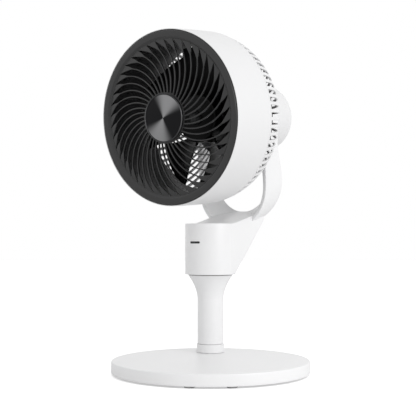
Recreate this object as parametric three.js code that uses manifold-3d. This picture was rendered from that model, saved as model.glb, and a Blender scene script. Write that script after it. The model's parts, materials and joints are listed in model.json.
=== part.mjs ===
// Pedestal air circulator: a round weighted base, a pole, a neck with a U-shaped yoke that pans on
// the pole, and a drum-shaped head that tilts in the yoke. Millimetres, +Z up. The origin is the
// centre of the base on the floor, and the base's front faces -Y. Left and right are as seen by
// someone who faces the front.
import * as THREE from 'three';
import { mergeVertices } from 'three/addons/utils/BufferGeometryUtils.js';
import Module from 'manifold-3d';

const wasm = await Module();
wasm.setup();

// ---- Driving dimensions ----

const GAP = 0.3; // clearance between neighbouring pieces
const WELD = 1e-4; // vertices closer than this are one
const WALL = 2.5; // moulded wall

const REST = { pan: -38, tilt: 6 }; // degrees: head turned to the left, nose a little down

const BASE = {
  radius: 130, low: 2.5, top: 17.6, edge: 1.6, segments: 48,
  coverThick: 2, bossRadius: 9,
  footRing: 119, footRadius: 7, footHeight: 2.2, footEdge: 0.8, footSpread: 12.3, footWeb: 2,
  screwRing: 121, screwBoss: 4.5, screwHead: 3.2, screwShank: 1.6, screwTop: 12,
};
const WEIGHT = { radius: 112, low: 8.8, top: 14.8 };
const TOUCH = { halfWidth: 70, front: -22, back: 4, low: 13.2, top: 14.8, clear: 2 };
const INLET = { halfWidth: 7, inner: 113, outer: 129.4, low: 4.8, top: 14.8, bore: 3, pin: 1 };

const POLE = {
  back: 79, radius: 18.2, bore: 15.5, low: 29.7, top: 124, segments: 24,
  // outer radius of the flared top, height by height
  flare: [[91, 18.2], [99, 19.1], [106, 21], [112.6, 23.9], [118.5, 27.3], [124, 30.9]],
  seatRadius: 26.3, seatLow: 120.4,
};
const FOOT = {
  radius: 19.3, low: 17.9, top: 29.4, edge: 0.8,
  spigot: 15.2, spigotTop: 50, stud: 10, studLow: 4.9, bore: 6.5,
};
const NUT = { radius: 17, low: 5.1, top: 8.5 };
const CABLE = { radius: 2.5, low: 6, top: 152 };
const AXLE = { plate: 26, plateLow: 120.7, radius: 8.5, bore: 5.5, top: 138.7 };
const BEARING = { inner: 12, outer: 25, low: 124.3, top: 127 };
const GEAR = {
  module: 0.8, low: 131, top: 136, ringTeeth: 36, pinionTeeth: 12,
  dedendum: 1.25, rootHalf: 0.28, tipHalf: 0.12, // root depth in modules; half teeth as shares of the pitch
};
const AXLE_NUT = { radius: 11.5, low: 136.3, top: 138.6 };

const NECK = {
  radius: 35.5, low: 127.3, top: 197.2, segments: 28,
  slantLowY: 12, slantHighY: 82.9, slantHighZ: 204.5, crestY: 80, crestZ: 216.5,
  // the neck's top behind its axis, rising to the yoke, and the space inside, each as [y, z]
  ramp: [[66, 213.6], [51, 209.4], [37, 205.7], [27.4, 202.7], [18, 200.1], [8.4, 198.2], [0, 197.2]],
  cavity: [[0, 126], [7.4, 126], [70, 194.1], [62, 203], [48, 202], [37, 202.2], [18, 197], [0, 194.4]],
  coverHalf: 27, coverFrom: 38, coverTo: 89, coverThick: 2,
  coverScrew: 44, coverBoss: 6, coverBossFrom: 34, coverBossTo: 50, coverBossDepth: 12,
};
const TURNTABLE = { radius: 32.6, low: 127.3, top: 130.3, hole: 9 };
const PAN_MOTOR = {
  y: -17.2, radius: 14, low: 139.2, top: 158, lug: 1.2, lugX: 20, lugHalf: 3.5, postRadius: 3, shaft: 2.4,
  screwHead: 2.8, screwShank: 1.4, headHeight: 2, socketDepth: 4, shaftIn: 3,
};
const WINDOW = { z: 171, halfWidth: 8.5, halfHeight: 1.5 };
const RECEIVER = { halfWidth: 10, front: -30.6, thick: 1.6, low: 162, top: 180 };
const MAIN_BOARD = {
  halfWidth: 32.6, y: 9.9, thick: 1.6, low: 150, top: 190, railDepth: 2.5, railThick: 2,
  transformer: [-22, -4, 170, 184], // left, right, low and top
  capacitor: [14, 176], capacitorRadius: 5, partHeight: 11,
};

// The yoke is a U-shaped band. Its four edges, front outer, rear outer, rear inner and front
// inner, are half rings below and straight arms above, and the arms end round at the pivot.
const YOKE = {
  frontY: 51, armFrontY: 46, rearY: 91, rearLowY: 84, crestY: 80, armRearY: 80,
  outerFront: 60, outerRear: 61.5, innerFront: 54.5, innerRear: 52, armOuter: 61, armInner: 52.6,
  frontZ: 249, rearZ: 261.5, innerRearZ: 280.5, innerRearDrop: 64,
  endRadius: 17, endAngle: 82, armBlend: 0.6, chamfer: 1.2, arcSteps: 8, armSteps: 4, endSteps: 4,
};
const PIVOT = {
  back: 63, z: 353, pin: 4, hole: 4.3, pinFrom: 42, head: 7.5, headFrom: 56.5, headTo: 58.5,
  capRadius: 13, capFrom: 59.1, capTo: 61, boss: 12, bossTo: 52, bush: 7, bushFrom: 37,
};

// Head: its axis is Y, its front is -Y, and its origin is on the tilt axis.
const HEAD = {
  front: -159.4, seam: -88.4, guardStart: -86.3, guardEnd: -22.3, housingEnd: 81.6, segments: 48,
};
const DRUM = {
  front: -158.6, lip: 117.6, middle: 119.4, radius: 119.5, lipBore: 116.7, lipDepth: 5.6,
  bore: 114.9, boreDepth: 16.8, rows: 3,
};
const GRILLE = {
  ribs: 42, radius: 116.2, hub: 34, bore: 12, tip: 104.5, rimInner: 107, thick: 2.6, rimBack: -153.3,
  rows: [53, 72, 90], // radii between the hub and the tip where the dome bends
  crown: 5, sink: 2.3, ribWidth: 2.1, taperFrom: 90, tipShare: 0.85,
  sweepStart: 0.3127, sweepGrowth: 0.00227, // degrees per mm from the hub, and its growth
};
const BADGE = {
  radius: 30.8, front: -166, back: -164.7, ringInner: 31.1, ringOuter: 32.8, ringFront: -166.4,
};
const DUCT = {
  inner: 105.5, outer: 107.5, front: -152.5, back: -90, rear: -66, flange: 116.4, flangeThick: 2,
};
const GUARD = {
  slots: 72, radius: 119.5, rearRadius: 66.4, slotEnd: 56, inner: 39, barShare: 0.44,
  arcSteps: 3, blankSteps: 6,
  bossRing: 112.3, boss: 4.5, bossTo: -78, screwFrom: -95, screwTo: -82,
};
const HOUSING = {
  radius: 50, front: -21.6, edge: 15.6, crown: 0.8, bossRing: 43.5, boss: 4.4, bossTo: -6,
  segments: 32, outerSteps: 4, innerSteps: 2,
};
const PLATE = { radius: 57.5, front: -27.8, back: -25.1 };
const STATOR = { base: 26, baseFront: -32, core: 20.5, front: -66, bore: 8, back: -28.1 };
const FAN_BEARING = { outer: 7.7, frontAt: -64, rearAt: -40, width: 5 };
const ROTOR = { outer: 27, inner: 22.5, front: -71, back: -34, thick: 2.5 };
const SHAFT = { radius: 3, front: -103, back: -28.4 };
const IMPELLER = {
  hub: 34, front: -96, back: -52, wall: 2.5, boss: 8, bossBack: -74, bore: 3.3, tip: 99, blades: 7,
  rootChord: 44, tipChord: 104, rootPitch: 48, tipPitch: 22, thick: 2.4, edgeShare: 0.4,
  camber: 5, sweep: -10, phase: 30, midY: -76,
  rows: [32.75, 50, 66, 82, 99], chordRows: 4,
};
const SPINNER = { radius: 9, back: -96.3, front: -106, bore: 3.3, boreDepth: 7, rows: 4 };
const BOARD = { radius: 30, y: 30, thick: 1.6, partHeight: 10, part: [-10, 8, -12, 6] };
const TILT_MOTOR = { radius: 14, from: 16, to: 36.1, bore: 4.3, boreFrom: 28 };
const HOUSING_SCREW = { head: 3.5, headFrom: -30.6, headTo: -28.1, shank: 1.6, to: -12 };

// ---- Materials ----

const finish = (color, roughness, metalness = 0) =>
  new THREE.MeshStandardMaterial({ color, roughness, metalness });
const WHITE = () => finish(0xf2f2f2, 0.42);
const BLACK = () => finish(0x17181a, 0.48);
const DARK = () => finish(0x2b2d30, 0.6);
const GREY = () => finish(0x3d3e40, 0.55);
const RUBBER = () => finish(0x8c8c8c, 0.9);
const STEEL = () => finish(0xa7abb0, 0.35, 1);
const BRASS = () => finish(0xb5935a, 0.35, 1);
const BOARD_GREEN = () => finish(0x1f5b3a, 0.6);
const SPUN = () => finish(0x3b3d40, 0.3, 1);
const NATURAL = () => finish(0xe6e2d6, 0.5);

// ---- Making and joining closed bodies ----

const radians = THREE.MathUtils.degToRad;
const sides = [-1, 1];

// The ends of a count of equal steps from 0 to 1.
const shares = (count) => Array.from({ length: count }, (_, i) => (i + 1) / count);

function signedVolume(position, corners) {
  const a = new THREE.Vector3();
  const b = new THREE.Vector3();
  const c = new THREE.Vector3();
  let sum = 0;
  for (let i = 0; i < corners.length; i += 3) {
    a.fromBufferAttribute(position, corners[i]);
    b.fromBufferAttribute(position, corners[i + 1]);
    c.fromBufferAttribute(position, corners[i + 2]);
    sum += a.dot(b.cross(c));
  }
  return sum;
}

// Shares equal vertices, drops triangles that have collapsed and points the faces outwards.
function closed(geometry) {
  const bare = new THREE.BufferGeometry();
  bare.setAttribute('position', geometry.getAttribute('position'));
  bare.setIndex(geometry.getIndex());
  const merged = mergeVertices(bare, WELD);
  const all = merged.getIndex().array;
  const kept = [];
  for (let i = 0; i < all.length; i += 3) {
    const [a, b, c] = [all[i], all[i + 1], all[i + 2]];
    if (a !== b && b !== c && c !== a) kept.push(a, b, c);
  }
  if (signedVolume(merged.getAttribute('position'), kept) < 0) kept.reverse();
  merged.setIndex(kept);
  return merged;
}

function toSolid(geometry) {
  const body = closed(geometry);
  return new wasm.Manifold(new wasm.Mesh({
    numProp: 3,
    vertProperties: body.getAttribute('position').array,
    triVerts: Uint32Array.from(body.getIndex().array),
  }));
}

function fromSolid(solid) {
  const mesh = solid.getMesh();
  const geometry = new THREE.BufferGeometry();
  geometry.setAttribute('position', new THREE.BufferAttribute(Float32Array.from(mesh.vertProperties), 3));
  geometry.setIndex(Array.from(mesh.triVerts));
  return geometry;
}

const join = (...bodies) => fromSolid(bodies.map(toSolid).reduce((sum, body) => sum.add(body)));
const cut = (body, ...tools) =>
  fromSolid(tools.map(toSolid).reduce((left, tool) => left.subtract(tool), toSolid(body)));
const common = (a, b) => fromSolid(toSolid(a).intersect(toSolid(b)));

// Turns a body made about the Y axis to stand about another axis.
const TURN = {
  x: (geometry) => geometry.rotateZ(-Math.PI / 2),
  y: (geometry) => geometry,
  z: (geometry) => geometry.rotateX(Math.PI / 2),
};

// A turned body from [radius, height] points that start and end on the axis or close on themselves.
function turned(points, axis = 'y', segments = HEAD.segments) {
  const outline = points.map(([r, h]) => new THREE.Vector2(r, h));
  if (points[0][0] > 0) outline.push(outline[0].clone());
  return closed(TURN[axis](new THREE.LatheGeometry(outline, segments)));
}

const ring = (inner, outer, low, high, axis = 'z', segments = 24) =>
  turned([[inner, low], [outer, low], [outer, high], [inner, high]], axis, segments);

const rod = (radius, low, high, axis = 'z', segments = 16) =>
  turned([[0, low], [radius, low], [radius, high], [0, high]], axis, segments);

const block = (x0, x1, y0, y1, z0, z1) =>
  new THREE.BoxGeometry(x1 - x0, y1 - y0, z1 - z0).translate((x0 + x1) / 2, (y0 + y1) / 2, (z0 + z1) / 2);

// Copies of a body round the Z or Y axis at the given angles in degrees, as one geometry.
function around(make, angles, axis = 'z') {
  const turn = axis === 'z' ? 'rotateZ' : 'rotateY';
  return join(...angles.map((angle) => make()[turn](radians(angle))));
}

// An outline in the YZ plane, extruded along X from -half to half.
function slab(points, half) {
  const shape = new THREE.Shape(points.map(([y, z]) => new THREE.Vector2(y, z)));
  const body = new THREE.ExtrudeGeometry(shape, { depth: 2 * half, bevelEnabled: false, steps: 1 });
  const toYZ = new THREE.Matrix4().makeBasis(
    new THREE.Vector3(0, 1, 0), new THREE.Vector3(0, 0, 1), new THREE.Vector3(1, 0, 0));
  return body.translate(0, 0, -half).applyMatrix4(toYZ);
}

// A body through closed sections with equal, even counts of points. Each four-sided patch is split
// along its shorter diagonal, and each end is closed by a strip between the section's two halves.
function loft(sections) {
  const count = sections[0].length;
  const points = sections.flat();
  const corners = [];
  for (let s = 0; s < sections.length - 1; s += 1) {
    for (let i = 0; i < count; i += 1) {
      const j = (i + 1) % count;
      const [a, b, c, d] = [s * count + i, s * count + j, (s + 1) * count + j, (s + 1) * count + i];
      const split = points[a].distanceTo(points[c]) <= points[b].distanceTo(points[d]);
      corners.push(...(split ? [a, b, c, a, c, d] : [a, b, d, b, c, d]));
    }
  }
  const last = (sections.length - 1) * count;
  for (let i = 0; i < count / 2 - 1; i += 1) {
    const [a, b, c, d] = [i, i + 1, count - 2 - i, count - 1 - i];
    corners.push(a, c, b, a, d, c);
    corners.push(last + a, last + b, last + c, last + a, last + c, last + d);
  }
  const geometry = new THREE.BufferGeometry().setFromPoints(points);
  geometry.setIndex(corners);
  return closed(geometry);
}

// A turned shell about Y with a ring of slots. Each row is { outer, inner, from, to }: the shell's
// two surfaces as [radius, height], and the angles in radians at which a bar starts and ends.
// The slots run from row first to row last.
function slottedShell(rows, count, first, last) {
  const points = [];
  const corners = [];
  const at = (row, side, bar, edge) => {
    const [radius, height] = rows[row][side];
    const angle = (2 * Math.PI * bar) / count + rows[row][edge];
    points.push(new THREE.Vector3(radius * Math.cos(angle), height, radius * Math.sin(angle)));
    return points.length - 1;
  };
  const quad = (a, b, c, d) => {
    const [p, q, r, s] = [a, b, c, d].map((spot) => at(...spot));
    corners.push(p, q, r, p, r, s);
  };
  for (let bar = 0; bar < count; bar += 1) {
    const spans = [[[bar, 'from'], [bar, 'to'], true], [[bar, 'to'], [bar + 1, 'from'], false]];
    for (const [[barA, edgeA], [barB, edgeB], solid] of spans) {
      for (let row = 0; row < rows.length - 1; row += 1) {
        if (!solid && row >= first && row < last) continue;
        quad([row, 'outer', barA, edgeA], [row + 1, 'outer', barA, edgeA],
          [row + 1, 'outer', barB, edgeB], [row, 'outer', barB, edgeB]);
        quad([row, 'inner', barB, edgeB], [row + 1, 'inner', barB, edgeB],
          [row + 1, 'inner', barA, edgeA], [row, 'inner', barA, edgeA]);
      }
      const ends = solid ? [0, rows.length - 1] : [0, first, last, rows.length - 1];
      for (const row of ends) {
        const inward = row === 0 || row === last;
        const [a, b] = inward ? [[barA, edgeA], [barB, edgeB]] : [[barB, edgeB], [barA, edgeA]];
        quad([row, 'inner', ...a], [row, 'outer', ...a], [row, 'outer', ...b], [row, 'inner', ...b]);
      }
    }
    for (let row = first; row < last; row += 1) {
      quad([row, 'outer', bar, 'to'], [row + 1, 'outer', bar, 'to'],
        [row + 1, 'inner', bar, 'to'], [row, 'inner', bar, 'to']);
      quad([row, 'inner', bar, 'from'], [row + 1, 'inner', bar, 'from'],
        [row + 1, 'outer', bar, 'from'], [row, 'outer', bar, 'from']);
    }
  }
  const geometry = new THREE.BufferGeometry().setFromPoints(points);
  geometry.setIndex(corners);
  return closed(geometry);
}

// A spur gear about Z with flat-sided teeth.
function spurGear(teeth, low, high, bore, turn = 0) {
  const pitch = (GEAR.module * teeth) / 2;
  const tip = pitch + GEAR.module;
  const root = pitch - GEAR.dedendum * GEAR.module;
  const step = (2 * Math.PI) / teeth;
  const outline = [];
  for (let tooth = 0; tooth < teeth; tooth += 1) {
    const flank = [[root, -GEAR.rootHalf], [tip, -GEAR.tipHalf], [tip, GEAR.tipHalf], [root, GEAR.rootHalf]];
    for (const [radius, share] of flank) {
      const angle = (tooth + share) * step + turn;
      outline.push(new THREE.Vector2(radius * Math.cos(angle), radius * Math.sin(angle)));
    }
  }
  const shape = new THREE.Shape(outline);
  if (bore > 0) shape.holes.push(new THREE.Path().absarc(0, 0, bore, 0, 2 * Math.PI, true));
  const options = { depth: high - low, bevelEnabled: false, curveSegments: 12 };
  const body = new THREE.ExtrudeGeometry(shape, options);
  return closed(body.translate(0, 0, low));
}

function piece(name, geometry, material) {
  const mesh = new THREE.Mesh(geometry, material);
  mesh.name = name;
  return mesh;
}

// One mesh per angle in degrees, numbered from 1 and turned about the given axis.
function copies(name, make, angles, axis, material) {
  return angles.map((angle, i) => {
    const mesh = piece(`${name}_${i + 1}`, make(), material);
    mesh.rotation[axis] = radians(angle);
    return mesh;
  });
}

// ---- Base ----

const footAngles = [-90, 30, 150];
const baseScrewAngles = [-60, 60, 180];

function baseCover() {
  const { radius, low, top, edge } = BASE;
  const inside = radius - WALL;
  const shell = turned([
    [0, top - WALL], [inside, top - WALL], [inside, low], [radius, low], [radius, top - edge],
    [radius - edge, top], [0, top],
  ], 'z', BASE.segments);
  const bossLow = low + BASE.coverThick + GAP;
  const boss = () => rod(BASE.screwBoss, bossLow, top - WALL / 2).translate(BASE.screwRing, 0, 0);
  const thread = () =>
    rod(BASE.screwShank + GAP, low, BASE.screwTop + GAP, 'z', 8).translate(BASE.screwRing, 0, 0);
  const stud = rod(FOOT.stud + GAP, low, top + WALL).translate(0, POLE.back, 0);
  const notch = block(-INLET.halfWidth - GAP, INLET.halfWidth + GAP, radius - 2 * WALL, radius + WALL,
    INLET.low - GAP, INLET.top + GAP);
  return cut(join(shell, around(boss, baseScrewAngles)), around(thread, baseScrewAngles), stud, notch);
}

function baseBottomCover() {
  const plate = rod(BASE.radius - WALL - GAP, BASE.low, BASE.low + BASE.coverThick, 'z', BASE.segments);
  const boss = rod(BASE.bossRadius, 0, BASE.low + BASE.coverThick / 2);
  const holes = around(
    () => rod(BASE.screwHead + GAP, 0, BASE.top, 'z', 8).translate(BASE.screwRing, 0, 0), baseScrewAngles);
  return cut(join(plate, boss), holes);
}

// Two round pads joined by a thin web that stays off the floor.
function rubberFoot() {
  const { footRadius, footHeight, footEdge, footRing, footSpread, footWeb } = BASE;
  const pad = () => turned([[0, 0], [footRadius - footEdge, 0], [footRadius, footEdge],
    [footRadius, footHeight], [0, footHeight]], 'z', 12).translate(footRing, 0, 0);
  const reach = footRing * Math.cos(radians(footSpread));
  const halfSpan = footRing * Math.sin(radians(footSpread));
  const low = footHeight - footEdge;
  const web = block(reach - footWeb, reach + footWeb, -halfSpan, halfSpan, low, footHeight);
  return join(around(pad, [-footSpread, footSpread]), web);
}

function bottomCoverScrew() {
  const { screwHead, screwShank, low, coverThick, screwTop, screwRing } = BASE;
  const headTop = low + coverThick;
  return turned([[0, low + GAP], [screwHead, low + GAP], [screwHead, headTop], [screwShank, headTop],
    [screwShank, screwTop], [0, screwTop]], 'z', 8).translate(screwRing, 0, 0);
}

function baseWeight() {
  const disc = rod(WEIGHT.radius, WEIGHT.low, WEIGHT.top, 'z', BASE.segments);
  const stud = rod(FOOT.stud + GAP, 0, BASE.top).translate(0, POLE.back, 0);
  const pocket = block(-TOUCH.halfWidth - TOUCH.clear, TOUCH.halfWidth + TOUCH.clear,
    TOUCH.front - TOUCH.clear, TOUCH.back + TOUCH.clear, 0, BASE.top);
  return cut(disc, stud, pocket);
}

const touchBoard = () =>
  block(-TOUCH.halfWidth, TOUCH.halfWidth, TOUCH.front, TOUCH.back, TOUCH.low, TOUCH.top);

function powerInlet() {
  const { halfWidth, inner, outer, low, top, bore, pin } = INLET;
  const middle = (low + top) / 2;
  const hole = rod(bore, inner + WALL, outer + WALL, 'y', 16).translate(0, 0, middle);
  const contact = rod(pin, inner + WALL / 2, outer - WALL, 'y', 8).translate(0, 0, middle);
  return join(cut(block(-halfWidth, halfWidth, inner, outer, low, top), hole), contact);
}

function poleFoot() {
  const { radius, low, top, edge, spigot, spigotTop, stud, studLow, bore } = FOOT;
  return turned([[bore, studLow], [stud, studLow], [stud, low], [radius, low], [radius, top - edge],
    [radius - edge, top], [spigot, top], [spigot, spigotTop], [bore, spigotTop]], 'z', 24);
}

const hexNut = (radius, bore, low, high) =>
  cut(rod(radius, low, high, 'z', 6), rod(bore, low - GAP, high + GAP, 'z', 24));

function pole() {
  const inside = POLE.flare.filter((_, i) => i % 2 === 0).map(([z, r]) => [r - WALL - GAP, z]).reverse();
  return turned([
    [POLE.radius, POLE.low], ...POLE.flare.map(([z, r]) => [r, z]), [POLE.seatRadius, POLE.top],
    [POLE.seatRadius, POLE.seatLow], ...inside, [POLE.bore, POLE.low],
  ], 'z', POLE.segments);
}

function poleTopPlate() {
  const { plate, plateLow, radius, bore, top } = AXLE;
  return turned([[bore, plateLow], [plate, plateLow], [plate, POLE.top], [radius, POLE.top], [radius, top],
    [bore, top]], 'z', 24);
}

// ---- Neck and yoke ----

const slantAngle = Math.atan2(NECK.slantHighY - NECK.slantLowY, NECK.slantHighZ - NECK.low);

// A box in the plane of the neck's slanted back: across, up along the slant, and out from it.
function slantBlock(x0, x1, u0, u1, n0, n1) {
  return block(x0, x1, n0, n1, u0, u1).rotateX(-slantAngle).translate(0, NECK.slantLowY, NECK.low);
}

const slantRod = (radius, u, n0, n1) =>
  rod(radius, n0, n1, 'y', 8).translate(0, 0, u).rotateX(-slantAngle)
    .translate(0, NECK.slantLowY, NECK.low);

// The four edges of the yoke's band at one station, each as [x, y, z]. The band's lower half can
// be grown all round, which gives the seat that it fits into.
function yokeEdges(station, grow) {
  if (station.arc !== undefined) {
    const [c, s] = [Math.cos(station.arc), Math.sin(station.arc)];
    const rearY = THREE.MathUtils.lerp(YOKE.rearLowY, YOKE.rearY, c) + grow;
    const [outerFront, outerRear] = [YOKE.outerFront + grow, YOKE.outerRear + grow];
    const [innerFront, innerRear] = [YOKE.innerFront - grow, YOKE.innerRear - grow];
    return [
      [outerFront * c, YOKE.frontY - grow, YOKE.frontZ + outerFront * s],
      [outerRear * c, rearY, YOKE.rearZ + outerRear * s],
      [innerRear * c, YOKE.crestY + grow, YOKE.innerRearZ + (YOKE.innerRearDrop - grow) * s],
      [innerFront * c, YOKE.frontY - grow, YOKE.frontZ + innerFront * s],
    ];
  }
  const rise = THREE.MathUtils.smoothstep(station.arm, 0, YOKE.armBlend);
  const mix = (low, high) => THREE.MathUtils.lerp(low, high, rise);
  const overhang = YOKE.endRadius * Math.sin(station.end);
  const z = (low) => THREE.MathUtils.lerp(low, PIVOT.z, station.arm) + overhang;
  const reach = YOKE.endRadius * Math.cos(station.end);
  const front = station.end > 0 ? PIVOT.back - reach : mix(YOKE.frontY, YOKE.armFrontY);
  const rear = (low) => (station.end > 0 ? PIVOT.back + reach : mix(low, YOKE.armRearY));
  return [
    [mix(YOKE.outerFront, YOKE.armOuter), front, z(YOKE.frontZ)],
    [mix(YOKE.outerRear, YOKE.armOuter), rear(YOKE.rearY), z(YOKE.rearZ)],
    [mix(YOKE.innerRear, YOKE.armInner), rear(YOKE.crestY), z(YOKE.innerRearZ)],
    [mix(YOKE.innerFront, YOKE.armInner), front, z(YOKE.frontZ)],
  ];
}

// Cuts each corner of a section back by the chamfer.
function chamfered(edges) {
  const corners = edges.map((edge) => new THREE.Vector3(...edge));
  return corners.flatMap((corner, i) => {
    const toward = (other) => corner.clone().add(other.clone().sub(corner).setLength(YOKE.chamfer));
    return [toward(corners.at(i - 1)), toward(corners[(i + 1) % corners.length])];
  });
}

const yokeArcs = [0, ...shares(YOKE.arcSteps)].map((t) => ({ arc: (-Math.PI / 2) * (1 - t) }));
const yokeArms = shares(YOKE.armSteps).map((t) => ({ arm: t, end: 0 }));
const yokeEnds = shares(YOKE.endSteps).map((t) => ({ arm: 1, end: radians(YOKE.endAngle * t) }));

// The band along the given stations of its right half, mirrored to the left.
function yokeBand(stations, grow) {
  const right = stations.map((station) => chamfered(yokeEdges(station, grow)));
  const mirror = (section) => section.map((p) => new THREE.Vector3(-p.x, p.y, p.z));
  return loft([...right.slice(1).reverse().map(mirror), ...right]);
}

const yoke = () => cut(yokeBand([...yokeArcs, ...yokeArms, ...yokeEnds], 0), ...sides.map(pivotBores));

function neckBody() {
  const column = rod(NECK.radius, NECK.low, NECK.top, 'z', NECK.segments);
  const wedge = slab([[0, NECK.low], [NECK.slantLowY, NECK.low], [NECK.slantHighY, NECK.slantHighZ],
    [NECK.crestY, NECK.crestZ], ...NECK.ramp], NECK.radius);
  return join(column, wedge);
}

function neckHollow() {
  const column = rod(NECK.radius - WALL, NECK.low - WALL, NECK.top - WALL, 'z', NECK.segments);
  return join(column, slab(NECK.cavity, NECK.radius - WALL));
}

const windowPrism = (gap) => {
  const { z, halfWidth, halfHeight } = WINDOW;
  const radius = halfHeight + gap;
  const reach = halfWidth - halfHeight;
  const shape = new THREE.Shape();
  shape.absarc(reach, 0, radius, -Math.PI / 2, Math.PI / 2, false);
  shape.absarc(-reach, 0, radius, Math.PI / 2, (3 * Math.PI) / 2, false);
  return new THREE.ExtrudeGeometry(shape, { depth: NECK.radius, bevelEnabled: false, curveSegments: 8 })
    .rotateX(Math.PI / 2).translate(0, -NECK.radius / 3, z);
};

function neckShell() {
  const { coverScrew, coverBoss, coverBossFrom, coverBossTo, coverBossDepth } = NECK;
  const { coverHalf, coverFrom, coverTo, coverThick } = NECK;
  const inside = NECK.radius - WALL;
  const { railDepth, railThick, thick, y, low, top } = MAIN_BOARD;
  const rails = sides.flatMap((side) => [y - railThick - GAP, y + thick + GAP].map((front) =>
    block(inside - railDepth, inside + GAP, 0, railThick, low, top - WALL)
      .translate(side > 0 ? 0 : railDepth - GAP - 2 * inside, front, 0)));
  const boss = slantBlock(-coverBoss, coverBoss, coverBossFrom, coverBossTo,
    -coverBossDepth, -coverThick - GAP);
  const half = coverHalf + GAP;
  const opening = slantBlock(-half, half, coverFrom - GAP, coverTo + GAP, -WALL - GAP, WALL);
  const shell = join(cut(neckBody(), neckHollow(), opening), ...rails, boss);
  const thread = slantRod(PAN_MOTOR.screwShank + GAP, coverScrew, -coverBossDepth + GAP, WALL);
  return cut(shell, windowPrism(GAP), thread, yokeBand(yokeArcs, GAP));
}

// The stepped bore through one arm: pin hole, seat of the pin's head and seat of the cap.
function pivotBores(side) {
  const { hole, head, headFrom, capRadius, capFrom, capTo } = PIVOT;
  const inner = YOKE.armInner - WALL;
  const seat = headFrom - GAP;
  const recess = capFrom - GAP;
  const bore = turned([[0, inner], [hole, inner], [hole, seat], [head + GAP, seat], [head + GAP, recess],
    [capRadius + GAP, recess], [capRadius + GAP, capTo + WALL], [0, capTo + WALL]], 'x', 16);
  return onSide(side, bore);
}

const onSide = (side, geometry) =>
  (side > 0 ? geometry : geometry.rotateZ(Math.PI)).translate(0, PIVOT.back, PIVOT.z);

function pivotPin(from) {
  const { pin, head, headFrom, headTo } = PIVOT;
  return turned([[0, from], [pin, from], [pin, headFrom], [head, headFrom], [head, headTo],
    [0, headTo]], 'x', 16);
}

function armCap() {
  const { capRadius, capFrom, capTo } = PIVOT;
  return turned([[0, capFrom], [capRadius, capFrom], [capRadius, capTo - GAP], [capRadius - GAP, capTo],
    [0, capTo]], 'x', 20);
}

function neckRearCover() {
  const { coverHalf, coverFrom, coverTo, coverThick, coverScrew } = NECK;
  const plate = slantBlock(-coverHalf, coverHalf, coverFrom, coverTo, -coverThick, 0);
  return cut(plate, slantRod(PAN_MOTOR.screwHead + GAP, coverScrew, -WALL, WALL));
}

const neckCoverScrew = () => join(
  slantRod(PAN_MOTOR.screwHead, NECK.coverScrew, -NECK.coverThick, -GAP),
  slantRod(PAN_MOTOR.screwShank, NECK.coverScrew, -NECK.coverBossDepth + 2 * GAP, -NECK.coverThick / 2));

function turntablePlate() {
  const { radius, low, top, hole } = TURNTABLE;
  const { postRadius, screwShank, lugX, y } = PAN_MOTOR;
  const disc = ring(hole, radius, low, top, 'z', NECK.segments);
  const posts = sides.map((side) =>
    rod(postRadius, top - GAP, PAN_MOTOR.low - GAP).translate(side * lugX, y, 0));
  const threads = sides.map((side) =>
    rod(screwShank + GAP, top, PAN_MOTOR.low, 'z', 8).translate(side * lugX, y, 0));
  return cut(join(disc, ...posts), ...threads);
}

function panMotor() {
  const { y, radius, low, top, lug, lugX, lugHalf, shaft, screwShank, socketDepth } = PAN_MOTOR;
  const can = rod(radius, low, top, 'z', 32).translate(0, y, 0);
  const lugs = block(-lugX - lugHalf, lugX + lugHalf, y - lugHalf, y + lugHalf, low, low + lug);
  const holes = sides.map((side) =>
    rod(screwShank + GAP, low - GAP, low + lug + GAP, 'z', 8).translate(side * lugX, y, 0));
  const socket = rod(shaft + GAP, low - GAP, low + socketDepth).translate(0, -gearSpacing, 0);
  return cut(join(can, lugs), socket, ...holes);
}

function panMotorScrew(side) {
  const { y, low, lug, lugX, screwHead, screwShank, headHeight } = PAN_MOTOR;
  const end = TURNTABLE.top + GAP;
  const seat = low + lug + GAP;
  return turned([[0, end], [screwShank, end], [screwShank, seat], [screwHead, seat],
    [screwHead, seat + headHeight], [0, seat + headHeight]], 'z', 8).translate(side * lugX, y, 0);
}

const gearSpacing = (GEAR.module * (GEAR.ringTeeth + GEAR.pinionTeeth)) / 2;

// A tooth of the ring gear faces the pinion at rest.
const panRingGear = () =>
  spurGear(GEAR.ringTeeth, GEAR.low, GEAR.top, AXLE.radius + GAP, radians(REST.pan) - Math.PI / 2);

// The pinion with its shaft, about its own axis; a gap between two teeth faces the ring gear.
function panPinion() {
  const halfTooth = Math.PI / GEAR.pinionTeeth;
  const gear = spurGear(GEAR.pinionTeeth, GEAR.low + GAP, GEAR.top - GAP, 0, Math.PI / 2 + halfTooth);
  return join(gear, rod(PAN_MOTOR.shaft, GEAR.top - 3 * GAP, PAN_MOTOR.low + PAN_MOTOR.shaftIn));
}

const receiverWindow = () => common(windowPrism(0),
  ring(NECK.radius - WALL, NECK.radius + GAP / 3, NECK.low, NECK.top, 'z', NECK.segments * 2));

const receiverBoard = () => block(-RECEIVER.halfWidth, RECEIVER.halfWidth, RECEIVER.front,
  RECEIVER.front + RECEIVER.thick, RECEIVER.low, RECEIVER.top);

function mainBoard() {
  const { halfWidth, y, thick, low, top, partHeight, capacitorRadius } = MAIN_BOARD;
  const [left, right, partLow, partTop] = MAIN_BOARD.transformer;
  const [x, z] = MAIN_BOARD.capacitor;
  const [seat, end] = [y + thick / 2, y + thick + partHeight];
  return join(
    block(-halfWidth, halfWidth, y, y + thick, low, top),
    block(left, right, seat, end, partLow, partTop),
    rod(capacitorRadius, seat, end, 'y').translate(x, 0, z));
}

// ---- Head ----

// Distance by which the front grille stands forward of its rim plane at a radius.
const grilleCrown = (radius) => {
  const share = Math.min(radius / GRILLE.tip, 1);
  return GRILLE.crown - (GRILLE.crown + GRILLE.sink) * share * share;
};

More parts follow.
